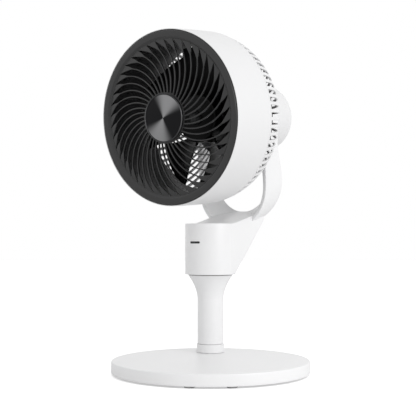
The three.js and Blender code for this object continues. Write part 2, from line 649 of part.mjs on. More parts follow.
// Angle in radians that a rib has swept when it reaches a radius.
const ribSweep = (radius) => {
  const run = THREE.MathUtils.clamp(radius, GRILLE.hub, GRILLE.tip) - GRILLE.hub;
  return radians(GRILLE.sweepStart * run + GRILLE.sweepGrowth * run * run);
};

// Half the angle of a web between two slots: a thin rib that widens to meet its neighbour at the tip.
function webHalfAngle(radius) {
  const pitch = (2 * Math.PI) / GRILLE.ribs;
  const thin = GRILLE.ribWidth / Math.max(radius, GRILLE.hub);
  const grow = THREE.MathUtils.clamp((radius - GRILLE.taperFrom) / (GRILLE.tip - GRILLE.taperFrom), 0, 1);
  return THREE.MathUtils.lerp(thin, pitch * GRILLE.tipShare, grow) / 2;
}

// One row of the grille. Beyond the tips of the slots the webs keep one angle.
function grilleRow(radius, front, back) {
  const half = webHalfAngle(radius);
  const swept = ribSweep(radius);
  return { outer: [radius, front], inner: [radius, back], from: swept - half, to: swept + half };
}

function frontGrille() {
  const { bore, hub, tip, thick, rimInner, radius, rimBack } = GRILLE;
  const domed = [bore, hub, ...GRILLE.rows, tip];
  const rows = domed.map((r) => {
    const front = HEAD.front - grilleCrown(r);
    return grilleRow(r, front, front + thick);
  });
  rows.push(grilleRow(rimInner, HEAD.front, rimBack), grilleRow(radius, HEAD.front, rimBack));
  return slottedShell(rows, GRILLE.ribs, 1, domed.length - 1);
}

function drumShell() {
  const { front, lip, middle, radius, lipBore, lipDepth, bore, boreDepth, rows } = DRUM;
  const side = [0, ...shares(rows)].map((t) => [
    lip * (1 - t) ** 2 + 2 * t * (1 - t) * middle + radius * t * t,
    THREE.MathUtils.lerp(front, HEAD.seam, t),
  ]);
  return turned([...side, [radius - WALL, HEAD.seam], [bore, front + boreDepth], [bore, front + lipDepth],
    [lipBore, front + lipDepth], [lipBore, front]]);
}

function rearGuard() {
  const { radius, rearRadius, slotEnd, inner, barShare, slots, arcSteps, bossRing, boss, bossTo } = GUARD;
  const half = (barShare * Math.PI) / slots;
  const depth = HEAD.guardEnd - HEAD.guardStart;
  const row = (r, y, innerR, innerY) => ({ outer: [r, y], inner: [innerR, innerY], from: -half, to: half });
  const rows = [row(radius, HEAD.seam + GAP, radius - WALL, HEAD.seam + GAP)];
  for (let i = 0; i <= arcSteps; i += 1) {
    const angle = ((Math.PI / 2) * i) / arcSteps;
    const reach = radius - rearRadius;
    rows.push(row(rearRadius + reach * Math.cos(angle), HEAD.guardStart + depth * Math.sin(angle),
      rearRadius + (reach - WALL) * Math.cos(angle), HEAD.guardStart + (depth - WALL) * Math.sin(angle)));
  }
  for (const r of [slotEnd, inner]) rows.push(row(r, HEAD.guardEnd, r, HEAD.guardEnd - WALL));
  const shell = slottedShell(rows, slots, 1, rows.length - 2);
  const bosses = around(
    () => rod(boss, HEAD.seam + 2 * GAP, bossTo, 'y', 8).translate(bossRing, 0, 0), screwAngles, 'y');
  const threads = screwHoles(bossRing, HEAD.seam, GUARD.screwTo + GAP);
  const clamps = screwHoles(HOUSING.bossRing, PLATE.front, 0);
  return cut(join(shell, common(bosses, guardBlank())), threads, clamps);
}

const screwAngles = [45, 165, 285];

// Three holes along the head's axis for screws on a ring of the given radius.
const screwHoles = (radius, from, to) => around(
  () => rod(HOUSING_SCREW.shank + GAP, from, to, 'y', 8).translate(radius, 0, 0), screwAngles, 'y');

// The space inside the guard's outer surface, which trims the bosses to it.
function guardBlank() {
  const depth = HEAD.guardEnd - HEAD.guardStart;
  const reach = GUARD.radius - GUARD.rearRadius - WALL / 2;
  const arc = [0, ...shares(GUARD.blankSteps)].map((t) => (t * Math.PI) / 2).map((angle) => [
    GUARD.rearRadius + reach * Math.cos(angle),
    HEAD.guardStart + (depth - WALL / 2) * Math.sin(angle),
  ]);
  const end = HEAD.guardEnd - WALL / 2;
  return turned([[0, HEAD.seam], [GUARD.radius - WALL / 2, HEAD.seam], ...arc, [0, end]]);
}

function guardScrew() {
  const { head, shank } = HOUSING_SCREW;
  const seat = DUCT.back - DUCT.flangeThick - GAP;
  return turned([[0, GUARD.screwFrom], [head, GUARD.screwFrom], [head, seat], [shank, seat],
    [shank, GUARD.screwTo], [0, GUARD.screwTo]], 'y', 8).translate(GUARD.bossRing, 0, 0);
}

function ductRing() {
  const { inner, outer, front, back, rear, flange, flangeThick } = DUCT;
  const step = back - flangeThick;
  const body = turned([[inner, front], [outer, front], [outer, step], [flange, step], [flange, back],
    [outer, back], [outer, rear], [inner, rear]], 'y', 32);
  return cut(body, screwHoles(GUARD.bossRing, back - WALL, back + WALL));
}

function motorHousing() {
  const { radius, front, edge, crown, bossRing, boss, bossTo, segments, outerSteps, innerSteps } = HOUSING;
  const end = HEAD.housingEnd;
  const corner = (reach, steps) => [0, ...shares(steps)].map((t) => (t * Math.PI) / 2).map((angle) => [
    radius - edge + reach * Math.cos(angle), end - edge + reach * Math.sin(angle)]);
  const shell = turned([[radius, front], ...corner(edge, outerSteps), [0, end + crown],
    [0, end + crown - WALL], ...corner(edge - WALL, innerSteps).reverse(), [radius - WALL, front],
  ], 'y', segments);
  const bosses = around(() => rod(boss, front, bossTo, 'y', 10).translate(bossRing, 0, 0), screwAngles, 'y');
  const threads = screwHoles(bossRing, front - GAP, HOUSING_SCREW.to + GAP);
  const { bushFrom, bossTo: hubTo } = PIVOT;
  const bothSides = (radiusOf, from, to) =>
    sides.map((side) => rod(radiusOf, from, to, 'x').rotateZ(side > 0 ? 0 : Math.PI));
  const hubs = bothSides(PIVOT.boss, bushFrom - GAP, hubTo);
  const bores = bothSides(PIVOT.bush + GAP, bushFrom - 2 * GAP, hubTo + GAP);
  return cut(join(shell, bosses, ...hubs), threads, ...bores);
}

function motorPlate() {
  const disc = ring(SHAFT.radius + 2 * GAP, PLATE.radius, PLATE.front, PLATE.back, 'y', 32);
  return cut(disc, screwHoles(HOUSING.bossRing, PLATE.front - GAP, PLATE.back + GAP));
}

function housingScrew() {
  const { head, headFrom, headTo, shank, to } = HOUSING_SCREW;
  return turned([[0, headFrom], [head, headFrom], [head, headTo], [shank, headTo], [shank, to], [0, to]],
    'y', 8).translate(HOUSING.bossRing, 0, 0);
}

const fanMotorStator = () => turned([[STATOR.bore, STATOR.front], [STATOR.core, STATOR.front],
  [STATOR.core, STATOR.baseFront], [STATOR.base, STATOR.baseFront], [STATOR.base, STATOR.back],
  [STATOR.bore, STATOR.back]], 'y', 24);

const motorBearing = (at) =>
  ring(SHAFT.radius + GAP, FAN_BEARING.outer, at, at + FAN_BEARING.width, 'y', 16);

function rotorBell() {
  const { outer, inner, front, back, thick } = ROTOR;
  const bore = SHAFT.radius + GAP;
  return turned([[bore, front], [outer, front], [outer, back], [inner, back], [inner, front + thick],
    [bore, front + thick]], 'y', 24);
}

// One blade section at a radius, wrapped round the axis: a cambered profile, thinner at its edges.
function bladeSection(radius) {
  const { thick, edgeShare, chordRows } = IMPELLER;
  const share = (radius - IMPELLER.hub) / (IMPELLER.tip - IMPELLER.hub);
  const chord = THREE.MathUtils.lerp(IMPELLER.rootChord, IMPELLER.tipChord, share);
  const pitch = radians(THREE.MathUtils.lerp(IMPELLER.rootPitch, IMPELLER.tipPitch, share));
  const lean = radians(IMPELLER.phase + IMPELLER.sweep * share);
  const along = [0, ...shares(chordRows)].map((t) => t - 0.5);
  const profile = (side) => along.map((t) => {
    const bow = IMPELLER.camber * (1 - 4 * t * t);
    const half = (side * thick * (1 - 4 * (1 - edgeShare) * t * t)) / 2;
    const across = (bow + half) * Math.sin(pitch) - t * chord * Math.cos(pitch);
    const deep = t * chord * Math.sin(pitch) + (bow + half) * Math.cos(pitch);
    const angle = across / radius + lean;
    return new THREE.Vector3(radius * Math.cos(angle), IMPELLER.midY + deep, radius * Math.sin(angle));
  });
  return [...profile(-1), ...profile(1).reverse()];
}

function impeller() {
  const { hub, front, back, wall, boss, bossBack, bore, rows, blades } = IMPELLER;
  const face = front + wall;
  const cup = turned([[bore, front], [hub - wall, front], [hub, face], [hub, back], [hub - wall, back],
    [hub - wall, face], [boss, face], [boss, bossBack], [bore, bossBack]], 'y', 24);
  const blade = () => loft(rows.map(bladeSection));
  const angles = Array.from({ length: blades }, (_, i) => (360 * i) / blades);
  return join(cup, around(blade, angles, 'y'));
}

function spinner() {
  const { radius, back, front, bore, boreDepth, rows } = SPINNER;
  const dome = [0, ...shares(rows)].slice(0, -1).map((t) => (t * Math.PI) / 2)
    .map((angle) => [radius * Math.cos(angle), back - (back - front) * Math.sin(angle)]);
  return turned([[0, front], ...dome.reverse(), [bore, back], [bore, back - boreDepth],
    [0, back - boreDepth]], 'y', 20);
}

function driverBoard() {
  const { radius, y, thick, partHeight, part } = BOARD;
  const [left, right, low, top] = part;
  const disc = rod(radius, y, y + thick, 'y', 32);
  return join(disc, block(left, right, y + thick / 2, y + partHeight, low, top));
}

function tiltMotor() {
  const { radius, from, to, bore, boreFrom } = TILT_MOTOR;
  return turned([[0, from], [radius, from], [radius, to], [bore, to], [bore, boreFrom],
    [0, boreFrom]], 'x', 20);
}

const pivotBush = () => ring(PIVOT.hole, PIVOT.bush, PIVOT.bushFrom, PIVOT.bossTo, 'x', 16);

// ---- Assembly ----

const fan = new THREE.Group();

fan.add(
  piece('base_cover', baseCover(), WHITE()),
  piece('base_bottom_cover', baseBottomCover(), DARK()),
  ...copies('rubber_foot', rubberFoot, footAngles, 'z', RUBBER()),
  ...copies('bottom_cover_screw', bottomCoverScrew, baseScrewAngles, 'z', STEEL()),
  piece('base_weight', baseWeight(), STEEL()),
  piece('touch_board', touchBoard(), BOARD_GREEN()),
  piece('power_inlet', powerInlet(), BLACK()),
);

const stand = new THREE.Group();
stand.position.set(0, POLE.back, 0);
fan.add(stand);
stand.add(
  piece('pole_foot', poleFoot(), WHITE()),
  piece('pole_nut', hexNut(NUT.radius, FOOT.stud + GAP, NUT.low, NUT.top), STEEL()),
  piece('pole', pole(), WHITE()),
  piece('pole_cable', rod(CABLE.radius, CABLE.low, CABLE.top, 'z', 8), BLACK()),
  piece('pole_top_plate', poleTopPlate(), STEEL()),
  piece('pan_bearing', ring(BEARING.inner, BEARING.outer, BEARING.low, BEARING.top, 'z', 24), NATURAL()),
  piece('pan_ring_gear', panRingGear(), NATURAL()),
  piece('pan_axle_nut', hexNut(AXLE_NUT.radius, AXLE.radius + GAP, AXLE_NUT.low, AXLE_NUT.top), STEEL()),
);

const neck = new THREE.Group();
neck.rotation.z = radians(REST.pan);
stand.add(neck);
neck.add(
  piece('neck_shell', neckShell(), WHITE()),
  piece('yoke', yoke(), WHITE()),
  piece('neck_rear_cover', neckRearCover(), WHITE()),
  piece('neck_cover_screw', neckCoverScrew(), STEEL()),
  piece('turntable_plate', turntablePlate(), DARK()),
  piece('pan_motor', panMotor(), STEEL()),
  ...sides.map((side, i) => piece(`pan_motor_screw_${i + 1}`, panMotorScrew(side), STEEL())),
  piece('receiver_window', receiverWindow(), BLACK()),
  piece('receiver_board', receiverBoard(), BOARD_GREEN()),
  piece('main_board', mainBoard(), BOARD_GREEN()),
  piece('left_pivot_pin', onSide(-1, pivotPin(PIVOT.pinFrom)), STEEL()),
  piece('tilt_drive_shaft', onSide(1, pivotPin(TILT_MOTOR.boreFrom + GAP)), STEEL()),
  piece('left_arm_cap', onSide(-1, armCap()), WHITE()),
  piece('right_arm_cap', onSide(1, armCap()), WHITE()),
);

const pinion = piece('pan_pinion', panPinion(), NATURAL());
pinion.position.set(0, -gearSpacing, 0);
neck.add(pinion);

const head = new THREE.Group();
head.position.set(0, PIVOT.back, PIVOT.z);
head.rotation.x = radians(REST.tilt);
neck.add(head);
head.add(
  piece('drum_shell', drumShell(), WHITE()),
  piece('front_grille', frontGrille(), BLACK()),
  piece('grille_badge', rod(BADGE.radius, BADGE.front, BADGE.back, 'y', 30), SPUN()),
  piece('badge_ring', ring(BADGE.ringInner, BADGE.ringOuter, BADGE.ringFront, BADGE.back, 'y', 30), STEEL()),
  piece('duct_ring', ductRing(), GREY()),
  piece('rear_guard', rearGuard(), WHITE()),
  ...copies('guard_screw', guardScrew, screwAngles, 'y', STEEL()),
  piece('motor_housing', motorHousing(), WHITE()),
  piece('motor_plate', motorPlate(), STEEL()),
  ...copies('housing_screw', housingScrew, screwAngles, 'y', STEEL()),
  piece('fan_motor_stator', fanMotorStator(), BRASS()),
  piece('motor_bearing_front', motorBearing(FAN_BEARING.frontAt), STEEL()),
  piece('motor_bearing_rear', motorBearing(FAN_BEARING.rearAt), STEEL()),
  piece('driver_board', driverBoard(), BOARD_GREEN()),
  piece('tilt_motor', tiltMotor(), STEEL()),
  piece('left_pivot_bush', pivotBush().rotateZ(Math.PI), NATURAL()),
  piece('right_pivot_bush', pivotBush(), NATURAL()),
  piece('impeller', impeller(), DARK()),
  piece('rotor_bell', rotorBell(), STEEL()),
  piece('fan_shaft', rod(SHAFT.radius, SHAFT.front, SHAFT.back, 'y', 20), STEEL()),
  piece('impeller_nut', spinner(), DARK()),
);

export default fan;
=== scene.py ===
"""An air circulator fan on a round base, dressed for a photograph. Sizes are in millimetres in the
functions that shape a piece, and become metres in the functions that put it in its place."""
import json
import math

import bmesh
import bpy
import numpy as np
from mathutils import Matrix


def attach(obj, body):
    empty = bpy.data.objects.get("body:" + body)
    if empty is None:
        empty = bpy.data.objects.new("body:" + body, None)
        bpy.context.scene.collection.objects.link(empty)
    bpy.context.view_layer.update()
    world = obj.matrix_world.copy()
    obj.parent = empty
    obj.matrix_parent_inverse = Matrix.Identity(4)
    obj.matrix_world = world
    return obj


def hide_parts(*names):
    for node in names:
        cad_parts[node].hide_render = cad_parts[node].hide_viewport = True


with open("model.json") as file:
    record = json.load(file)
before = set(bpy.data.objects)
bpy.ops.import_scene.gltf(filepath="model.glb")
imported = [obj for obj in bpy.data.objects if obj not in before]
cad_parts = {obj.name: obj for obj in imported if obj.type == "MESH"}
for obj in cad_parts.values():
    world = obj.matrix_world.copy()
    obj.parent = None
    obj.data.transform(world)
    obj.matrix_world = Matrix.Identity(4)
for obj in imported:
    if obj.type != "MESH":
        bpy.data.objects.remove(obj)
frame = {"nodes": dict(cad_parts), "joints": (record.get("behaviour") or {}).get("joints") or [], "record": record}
nodes = frame["nodes"]
joints = {joint["name"]: joint for joint in frame["joints"]}
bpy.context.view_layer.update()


# ---- Base cover ----
# A white satin moulding, 260 mm across, that hides a cast weight. It is injection moulded with a
# softly rounded top edge, and screwed to the bottom cover from below.

base_radius = 130
base_low, base_top = 2.5, 17.6
base_wall = 2.5


def soften(corners, cut, steps=7):
    """Each corner of a closed outline, in 2 or 3 dimensions, gives way to a quadratic curve that
    starts and ends at a distance cut from it, or at most 0.45 of the way to the next corner."""
    corners = np.asarray(corners, float)
    curve = np.linspace(0, 1, steps)[:, None]
    ends = []
    for step in (1, -1):
        toward = np.roll(corners, step, axis=-2) - corners
        length = np.maximum(np.linalg.norm(toward, axis=-1, keepdims=True), 1e-9)
        reach = np.minimum(np.broadcast_to(cut, corners.shape[:-1])[..., None], 0.45 * length)
        ends.append((corners + toward / length * reach)[..., None, :])
    middle = corners[..., None, :]
    points = (1 - curve) ** 2 * ends[0] + 2 * curve * (1 - curve) * middle + curve ** 2 * ends[1]
    return points.reshape(*corners.shape[:-2], -1, corners.shape[-1])


def surface(name, points, ring_rows=False, ring_columns=False, capped=False, sharp=40):
    """A mesh from grids of points in metres, shaped (grids, rows, columns, 3). Four neighbours share
    a face. The rows or the columns may close into rings, and capped closes each grid's two ends."""
    points = np.asarray(points, float)
    points = points[None] if points.ndim == 3 else points
    count, rows, columns = points.shape[:3]
    index = np.arange(count * rows * columns).reshape(count, rows, columns)
    caps = np.concatenate([index[:, 0], index[:, -1, ::-1]]).tolist() if capped else []
    if ring_rows:
        index = np.concatenate([index, index[:, :1]], axis=1)
    if ring_columns:
        index = np.concatenate([index, index[:, :, :1]], axis=2)
    corners = [index[:, :-1, :-1], index[:, :-1, 1:], index[:, 1:, 1:], index[:, 1:, :-1]]
    faces = np.stack(corners, axis=-1).reshape(-1, 4).tolist()
    mesh = bpy.data.meshes.new(name)
    mesh.from_pydata(points.reshape(-1, 3).tolist(), [], faces + caps)
    tidy = bmesh.new()
    tidy.from_mesh(mesh)
    bmesh.ops.remove_doubles(tidy, verts=tidy.verts, dist=2e-6)
    bmesh.ops.recalc_face_normals(tidy, faces=tidy.faces)
    tidy.to_mesh(mesh)
    tidy.free()
    mesh.shade_smooth()
    mesh.set_sharp_from_angle(angle=math.radians(sharp))
    piece = bpy.data.objects.new(name, mesh)
    bpy.context.scene.collection.objects.link(piece)
    return piece


AXIS_ORDER = {"z": (0, 1, 2), "y": (0, 2, 1), "x": (2, 0, 1)}


def turned(name, outline, place, axis="z", segments=160):
    """A closed outline of [radius, height] points carried round an axis: x = radius cos a,
    y = radius sin a, z = height, with the three coordinates in the order that the axis asks for."""
    angle = np.linspace(0, 2 * math.pi, segments, endpoint=False)[:, None]
    radius, height = np.asarray(outline, float).T
    spots = [radius * np.cos(angle), radius * np.sin(angle), height + 0 * angle]
    points = np.stack([spots[i] for i in AXIS_ORDER[axis]], axis=-1)
    return surface(name, place(points), ring_rows=True, ring_columns=True)


def on_base(points):
    """Millimetres from the centre of the base, in metres."""
    return np.asarray(points) / 1000


def moulded_grain():
    """A node group for the skin of moulded plastic: a fine even grain for the bump, and a roughness
    that drifts a little over a few centimetres."""
    group = bpy.data.node_groups.new("moulded_grain", "ShaderNodeTree")
    face = group.interface
    face.new_socket("Vector", in_out="INPUT", socket_type="NodeSocketVector")
    for name, value in [("Grain size", 0.0006), ("Roughness", 0.35), ("Drift", 0.05)]:
        face.new_socket(name, in_out="INPUT", socket_type="NodeSocketFloat").default_value = value
    face.new_socket("Roughness", in_out="OUTPUT", socket_type="NodeSocketFloat")
    face.new_socket("Height", in_out="OUTPUT", socket_type="NodeSocketFloat")
    make, link = group.nodes.new, group.links.new
    given, given_out = make("NodeGroupInput"), make("NodeGroupOutput")
    pitch = make("ShaderNodeMath")
    pitch.operation = "DIVIDE"
    pitch.inputs[0].default_value = 1
    link(given.outputs["Grain size"], pitch.inputs[1])
    grain = make("ShaderNodeTexNoise")
    grain.inputs["Detail"].default_value = 3
    link(given.outputs["Vector"], grain.inputs["Vector"])
    link(pitch.outputs[0], grain.inputs["Scale"])
    link(grain.outputs["Fac"], given_out.inputs["Height"])
    cloud = make("ShaderNodeTexNoise")
    cloud.inputs["Scale"].default_value = 35
    cloud.inputs["Detail"].default_value = 4
    link(given.outputs["Vector"], cloud.inputs["Vector"])
    drift = make("ShaderNodeMapRange")
    drift.inputs["To Min"].default_value = -0.5
    drift.inputs["To Max"].default_value = 0.5
    link(cloud.outputs["Fac"], drift.inputs["Value"])
    spread = make("ShaderNodeMath")
    spread.operation = "MULTIPLY_ADD"
    link(drift.outputs[0], spread.inputs[0])
    link(given.outputs["Drift"], spread.inputs[1])
    link(given.outputs["Roughness"], spread.inputs[2])
    link(spread.outputs[0], given_out.inputs["Roughness"])
    return group


def soft_tone():
    """A node group that lets a colour fade unevenly by a share of itself, in patches of a few
    centimetres with finer flecks, as pigment and handling leave it."""
    group = bpy.data.node_groups.new("soft_tone", "ShaderNodeTree")
    face = group.interface
    face.new_socket("Vector", in_out="INPUT", socket_type="NodeSocketVector")
    face.new_socket("Colour", in_out="INPUT", socket_type="NodeSocketColor")
    face.new_socket("Fade", in_out="INPUT", socket_type="NodeSocketFloat").default_value = 0.03
    face.new_socket("Colour", in_out="OUTPUT", socket_type="NodeSocketColor")
    make, link = group.nodes.new, group.links.new
    given, given_out = make("NodeGroupInput"), make("NodeGroupOutput")
    patches = make("ShaderNodeTexNoise")
    patches.inputs["Scale"].default_value = 18
    patches.inputs["Detail"].default_value = 8
    patches.inputs["Roughness"].default_value = 0.6
    link(given.outputs["Vector"], patches.inputs["Vector"])
    share = make("ShaderNodeMath")
    share.operation = "MULTIPLY"
    link(patches.outputs["Fac"], share.inputs[0])
    link(given.outputs["Fade"], share.inputs[1])
    darker = make("ShaderNodeMix")
    darker.data_type = "RGBA"
    darker.blend_type = "MULTIPLY"
    darker.inputs["B"].default_value = (0, 0, 0, 1)
    link(share.outputs[0], darker.inputs["Factor"])
    link(given.outputs["Colour"], darker.inputs["A"])
    link(darker.outputs["Result"], given_out.inputs["Colour"])
    return group


MOULDED_GRAIN = moulded_grain()
SOFT_TONE = soft_tone()


def plain_finish(name):
    """An empty material, with its node tree's maker of nodes, maker of links and shader."""
    material = bpy.data.materials.new(name)
    material.use_nodes = True
    tree = material.node_tree
    return material, tree.nodes.new, tree.links.new, tree.nodes["Principled BSDF"]


def place_group(make, link, group, coordinates, **values):
    """A node group in a material, fed with coordinates and with its own values."""
    node = make("ShaderNodeGroup")
    node.node_tree = group
    link(coordinates, node.inputs["Vector"])
    for name, value in values.items():
        node.inputs[name.replace("_", " ")].default_value = value
    return node


def moulded(name, colour, roughness, grain=0.0006, depth=0.1, fade=0.02, drift=0.06):
    """Moulded plastic: soft tone in the colour, drift in the roughness and a fine grain."""
    material, make, link, shader = plain_finish(name)
    spot = make("ShaderNodeTexCoord").outputs["Object"]
    tone = place_group(make, link, SOFT_TONE, spot, Colour=(*colour, 1), Fade=fade)
    skin = place_group(make, link, MOULDED_GRAIN, spot, Grain_size=grain, Roughness=roughness, Drift=drift)
    bump = make("ShaderNodeBump")
    bump.inputs["Strength"].default_value = depth
    bump.inputs["Distance"].default_value = 0.0001
    link(skin.outputs["Height"], bump.inputs["Height"])
    link(tone.outputs["Colour"], shader.inputs["Base Color"])
    link(skin.outputs["Roughness"], shader.inputs["Roughness"])
    link(bump.outputs["Normal"], shader.inputs["Normal"])
    return material


def fit(piece, body, slot, material, *replaced):
    """A finished piece gets its material, rides on its body and stands for its CAD nodes."""
    piece.data.materials.clear()
    piece.data.materials.append(material)
    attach(piece, body)
    if replaced:
        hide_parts(*replaced)


white_satin = moulded("white_satin", (0.83, 0.83, 0.835), 0.34)
white_base = moulded("white_base_top", (0.86, 0.86, 0.865), 0.36, depth=0.05)
base_outline = soften(
    [(0, base_top), (base_radius, base_top), (base_radius, base_low), (base_radius - base_wall, base_low),
     (base_radius - base_wall, base_top - base_wall), (0, base_top - base_wall)],
    [0, 1.7, 0.9, 0.2, 0.2, 0])
fit(turned("base_cover_shell", base_outline, on_base, segments=256), "base", "white_plastic", white_base,
    "base_cover")


# ---- Pole and its collar ----
# A white tube, 36 mm across, that flares to meet the neck. It stands on a short collar which is
# screwed down through the base.

pole_axis = np.array(joints["pan"]["pos_m"]) * 1000
stud_bore, stud_radius, stud_low = 6.5, 10, 4.9
collar_radius, collar_low, collar_top = 19.3, 17.9, 29.4
spigot_radius, spigot_top = 15.2, 50
pole_radius, pole_bore, pole_low = 18.2, 15.4, 29.7
flare_low, flare_top, flare_radius, flare_wall, flare_power = 91, 125.3, 31.3, 2.8, 1.87
seat_radius, seat_low = 26.3, 120.4


def on_pole(points):
    """Millimetres from the pole's axis, in metres."""
    return (np.asarray(points) + [pole_axis[0], pole_axis[1], 0]) / 1000


collar_outline = soften(
    [(stud_bore, stud_low), (stud_radius, stud_low), (stud_radius, collar_low), (collar_radius, collar_low),
     (collar_radius, collar_top), (spigot_radius, collar_top), (spigot_radius, spigot_top),
     (stud_bore, spigot_top)],
    [0.2, 0.3, 0.2, 0.5, 0.8, 0.2, 0.6, 0.2])
fit(turned("pole_collar", collar_outline, on_pole, segments=96), "base", "white_plastic", white_satin,
    "pole_foot")


def flare(height):
    """Radius of the pole at a height: straight, then growing with the 1.87th power of the rise."""
    rise = np.clip((height - flare_low) / (flare_top - flare_low), 0, 1)
    return pole_radius + (flare_radius - pole_radius) * rise ** flare_power


foot_bevel, straight_end, bore_end = 0.5, flare_low - 4, flare_low + 4
outer_height = np.concatenate([[pole_low, pole_low + foot_bevel], np.linspace(straight_end, flare_top, 36)])
outer_pole = np.stack([flare(outer_height) - (outer_height == pole_low) * foot_bevel, outer_height], axis=-1)
inner_height = np.linspace(seat_low, bore_end, 14)
inner_pole = np.stack([flare(inner_height) - flare_wall, inner_height], axis=-1)
pole_outline = np.concatenate([outer_pole, [(seat_radius, flare_top), (seat_radius, seat_low)], inner_pole,
                               [(pole_bore, pole_low)]])
fit(turned("pole_tube", pole_outline, on_pole, segments=128), "base", "white_plastic", white_satin, "pole")


# ---- Neck ----
# The white moulding that turns on the pole: an upright column with a wedge behind it that leans
# back and carries the yoke. Its rear cover lies in a shallow recess, and screws in.

tilt_axis = np.array(joints["tilt"]["axis"])
across = -tilt_axis
rearward = np.cross([0, 0, 1], across)
neck_axes = np.array([across, rearward, [0, 0, 1]])
column_radius, column_bore, neck_wall = 35.5, 33, 2.5
neck_low, neck_top = 127.3, 197.2
skirt = 1  # how far the column reaches below the wedge, over the pan gap
wedge_low_y, wedge_edge = 12, 1.2
wedge_corner = (82.9, 204.5)
crest = (80, 216.5)
ramp_ease, ramp_rate = 0.75, 4


def on_neck(points):
    """Millimetres across, rearward and up from where the neck's axis meets the floor, in metres."""
    return on_pole(np.asarray(points) @ neck_axes)


column_outline = soften(
    [(0, neck_top), (column_radius, neck_top), (column_radius, neck_low - skirt),
     (column_bore, neck_low - skirt), (column_bore, neck_top - neck_wall), (0, neck_top - neck_wall)],
    [0, 1.0, 0.6, 0.2, 0, 0])
fit(turned("neck_column", column_outline, on_neck, segments=128), "neck", "white_plastic", white_satin,
    "neck_shell")


def neck_rise(y):
    """Height of the neck's top at y: a straight slope to the crest, made flatter at the front by a
    share that dies away exponentially."""
    share = y / crest[0]
    slope = share * (1 - ramp_ease * np.exp(-ramp_rate * share))
    return neck_top + (crest[1] - neck_top) * slope / (1 - ramp_ease * math.exp(-ramp_rate))


def inset_slab(outline, half, edge, steps=6):
    """A closed outline of [y, z] points carried across from -half to half, with side edges that
    round off: towards each side it shrinks along its normals by edge (1 - cos a)."""
    ahead = np.roll(outline, -1, axis=0) - np.roll(outline, 1, axis=0)
    normal = np.stack([ahead[:, 1], -ahead[:, 0]], axis=-1)
    normal /= np.linalg.norm(normal, axis=1, keepdims=True)
    angle = np.linspace(0, math.pi / 2, steps)
    x = half - edge * (1 - np.sin(angle))
    shrink = edge * (1 - np.cos(angle))
    x = np.concatenate([-x[::-1], x])
    shrink = np.concatenate([shrink[::-1], shrink])
    rings = outline[None] - normal[None] * shrink[:, None, None]
    return np.concatenate([np.broadcast_to(x[:, None, None], (*rings.shape[:2], 1)), rings], axis=-1)


lean = math.atan2(wedge_corner[0] - wedge_low_y, wedge_corner[1] - neck_low)
ramp_y = np.linspace(crest[0], 0, 40)
front_point = (0, neck_low + 30)  # on the straight front line, so that both its ends shrink evenly
wedge_outline = np.concatenate([
    [front_point, (0, neck_low), (wedge_low_y, neck_low), wedge_corner],
    np.stack([ramp_y, neck_rise(ramp_y)], axis=-1)])
wedge = surface("neck_wedge", on_neck(inset_slab(wedge_outline, column_radius, wedge_edge)),
                ring_columns=True, capped=True)


def hollow_out(piece, cutter):
    """Takes the cutter's volume out of a piece, and removes the cutter."""
    boolean = piece.modifiers.new("opening", "BOOLEAN")
    boolean.operation = "DIFFERENCE"
    boolean.object = cutter
    bpy.context.view_layer.update()
    cut = bpy.data.meshes.new_from_object(piece.evaluated_get(bpy.context.evaluated_depsgraph_get()))
    piece.modifiers.clear()
    piece.data = cut
    cut.shade_smooth()
    cut.set_sharp_from_angle(angle=math.radians(40))
    bpy.data.objects.remove(cutter)


def on_lean(points):
    """Millimetres across, up along the wedge's back and out from it, in the neck's millimetres."""
    x, up, out = np.moveaxis(np.asarray(points, float), -1, 0)
    y = wedge_low_y + up * math.sin(lean) + out * math.cos(lean)
    z = neck_low + up * math.cos(lean) - out * math.sin(lean)
    return np.stack([x, y, z], axis=-1)


recess_half, recess_low, recess_high, recess_depth, clear_of_back = 27.3, 37.7, 89.3, 2.4, 6
recess_ring = np.array([(-recess_half, recess_low), (recess_half, recess_low), (recess_half, recess_high),
                        (-recess_half, recess_high)])
recess_block = np.stack([np.column_stack([recess_ring, np.full(len(recess_ring), out)])
                         for out in (-recess_depth, clear_of_back)])
hollow_out(wedge, surface("recess_cutter", on_neck(on_lean(recess_block)), ring_columns=True, capped=True))
fit(wedge, "neck", "white_plastic", white_satin, "neck_shell")


# ---- Yoke ----
# A white U-shaped band that rises from the back of the neck. It is deep at the bottom, where its
# inside is dished like a bowl, and narrows to two flat arms with round ends at the pivots.

front_y, rear_y, rear_low_y, crest_y = 51, 91, 84, 80
outer_front, outer_rear, inner_front, inner_rear = 60, 61.5, 54.5, 52
front_z, rear_z, inner_rear_z, inner_rear_drop = 249, 261.5, 280.5, 64
arm_outer, arm_inner, arm_end, band_edge = 61, 52.6, 17, 1.5
narrow_by = 0.6  # the share of the arm's height over which the band narrows
pivot = np.array(joints["tilt"]["pos_m"]) * 1000
pivot_y = float((pivot - [pole_axis[0], pole_axis[1], 0]) @ rearward)
pivot_z = float(pivot[2])


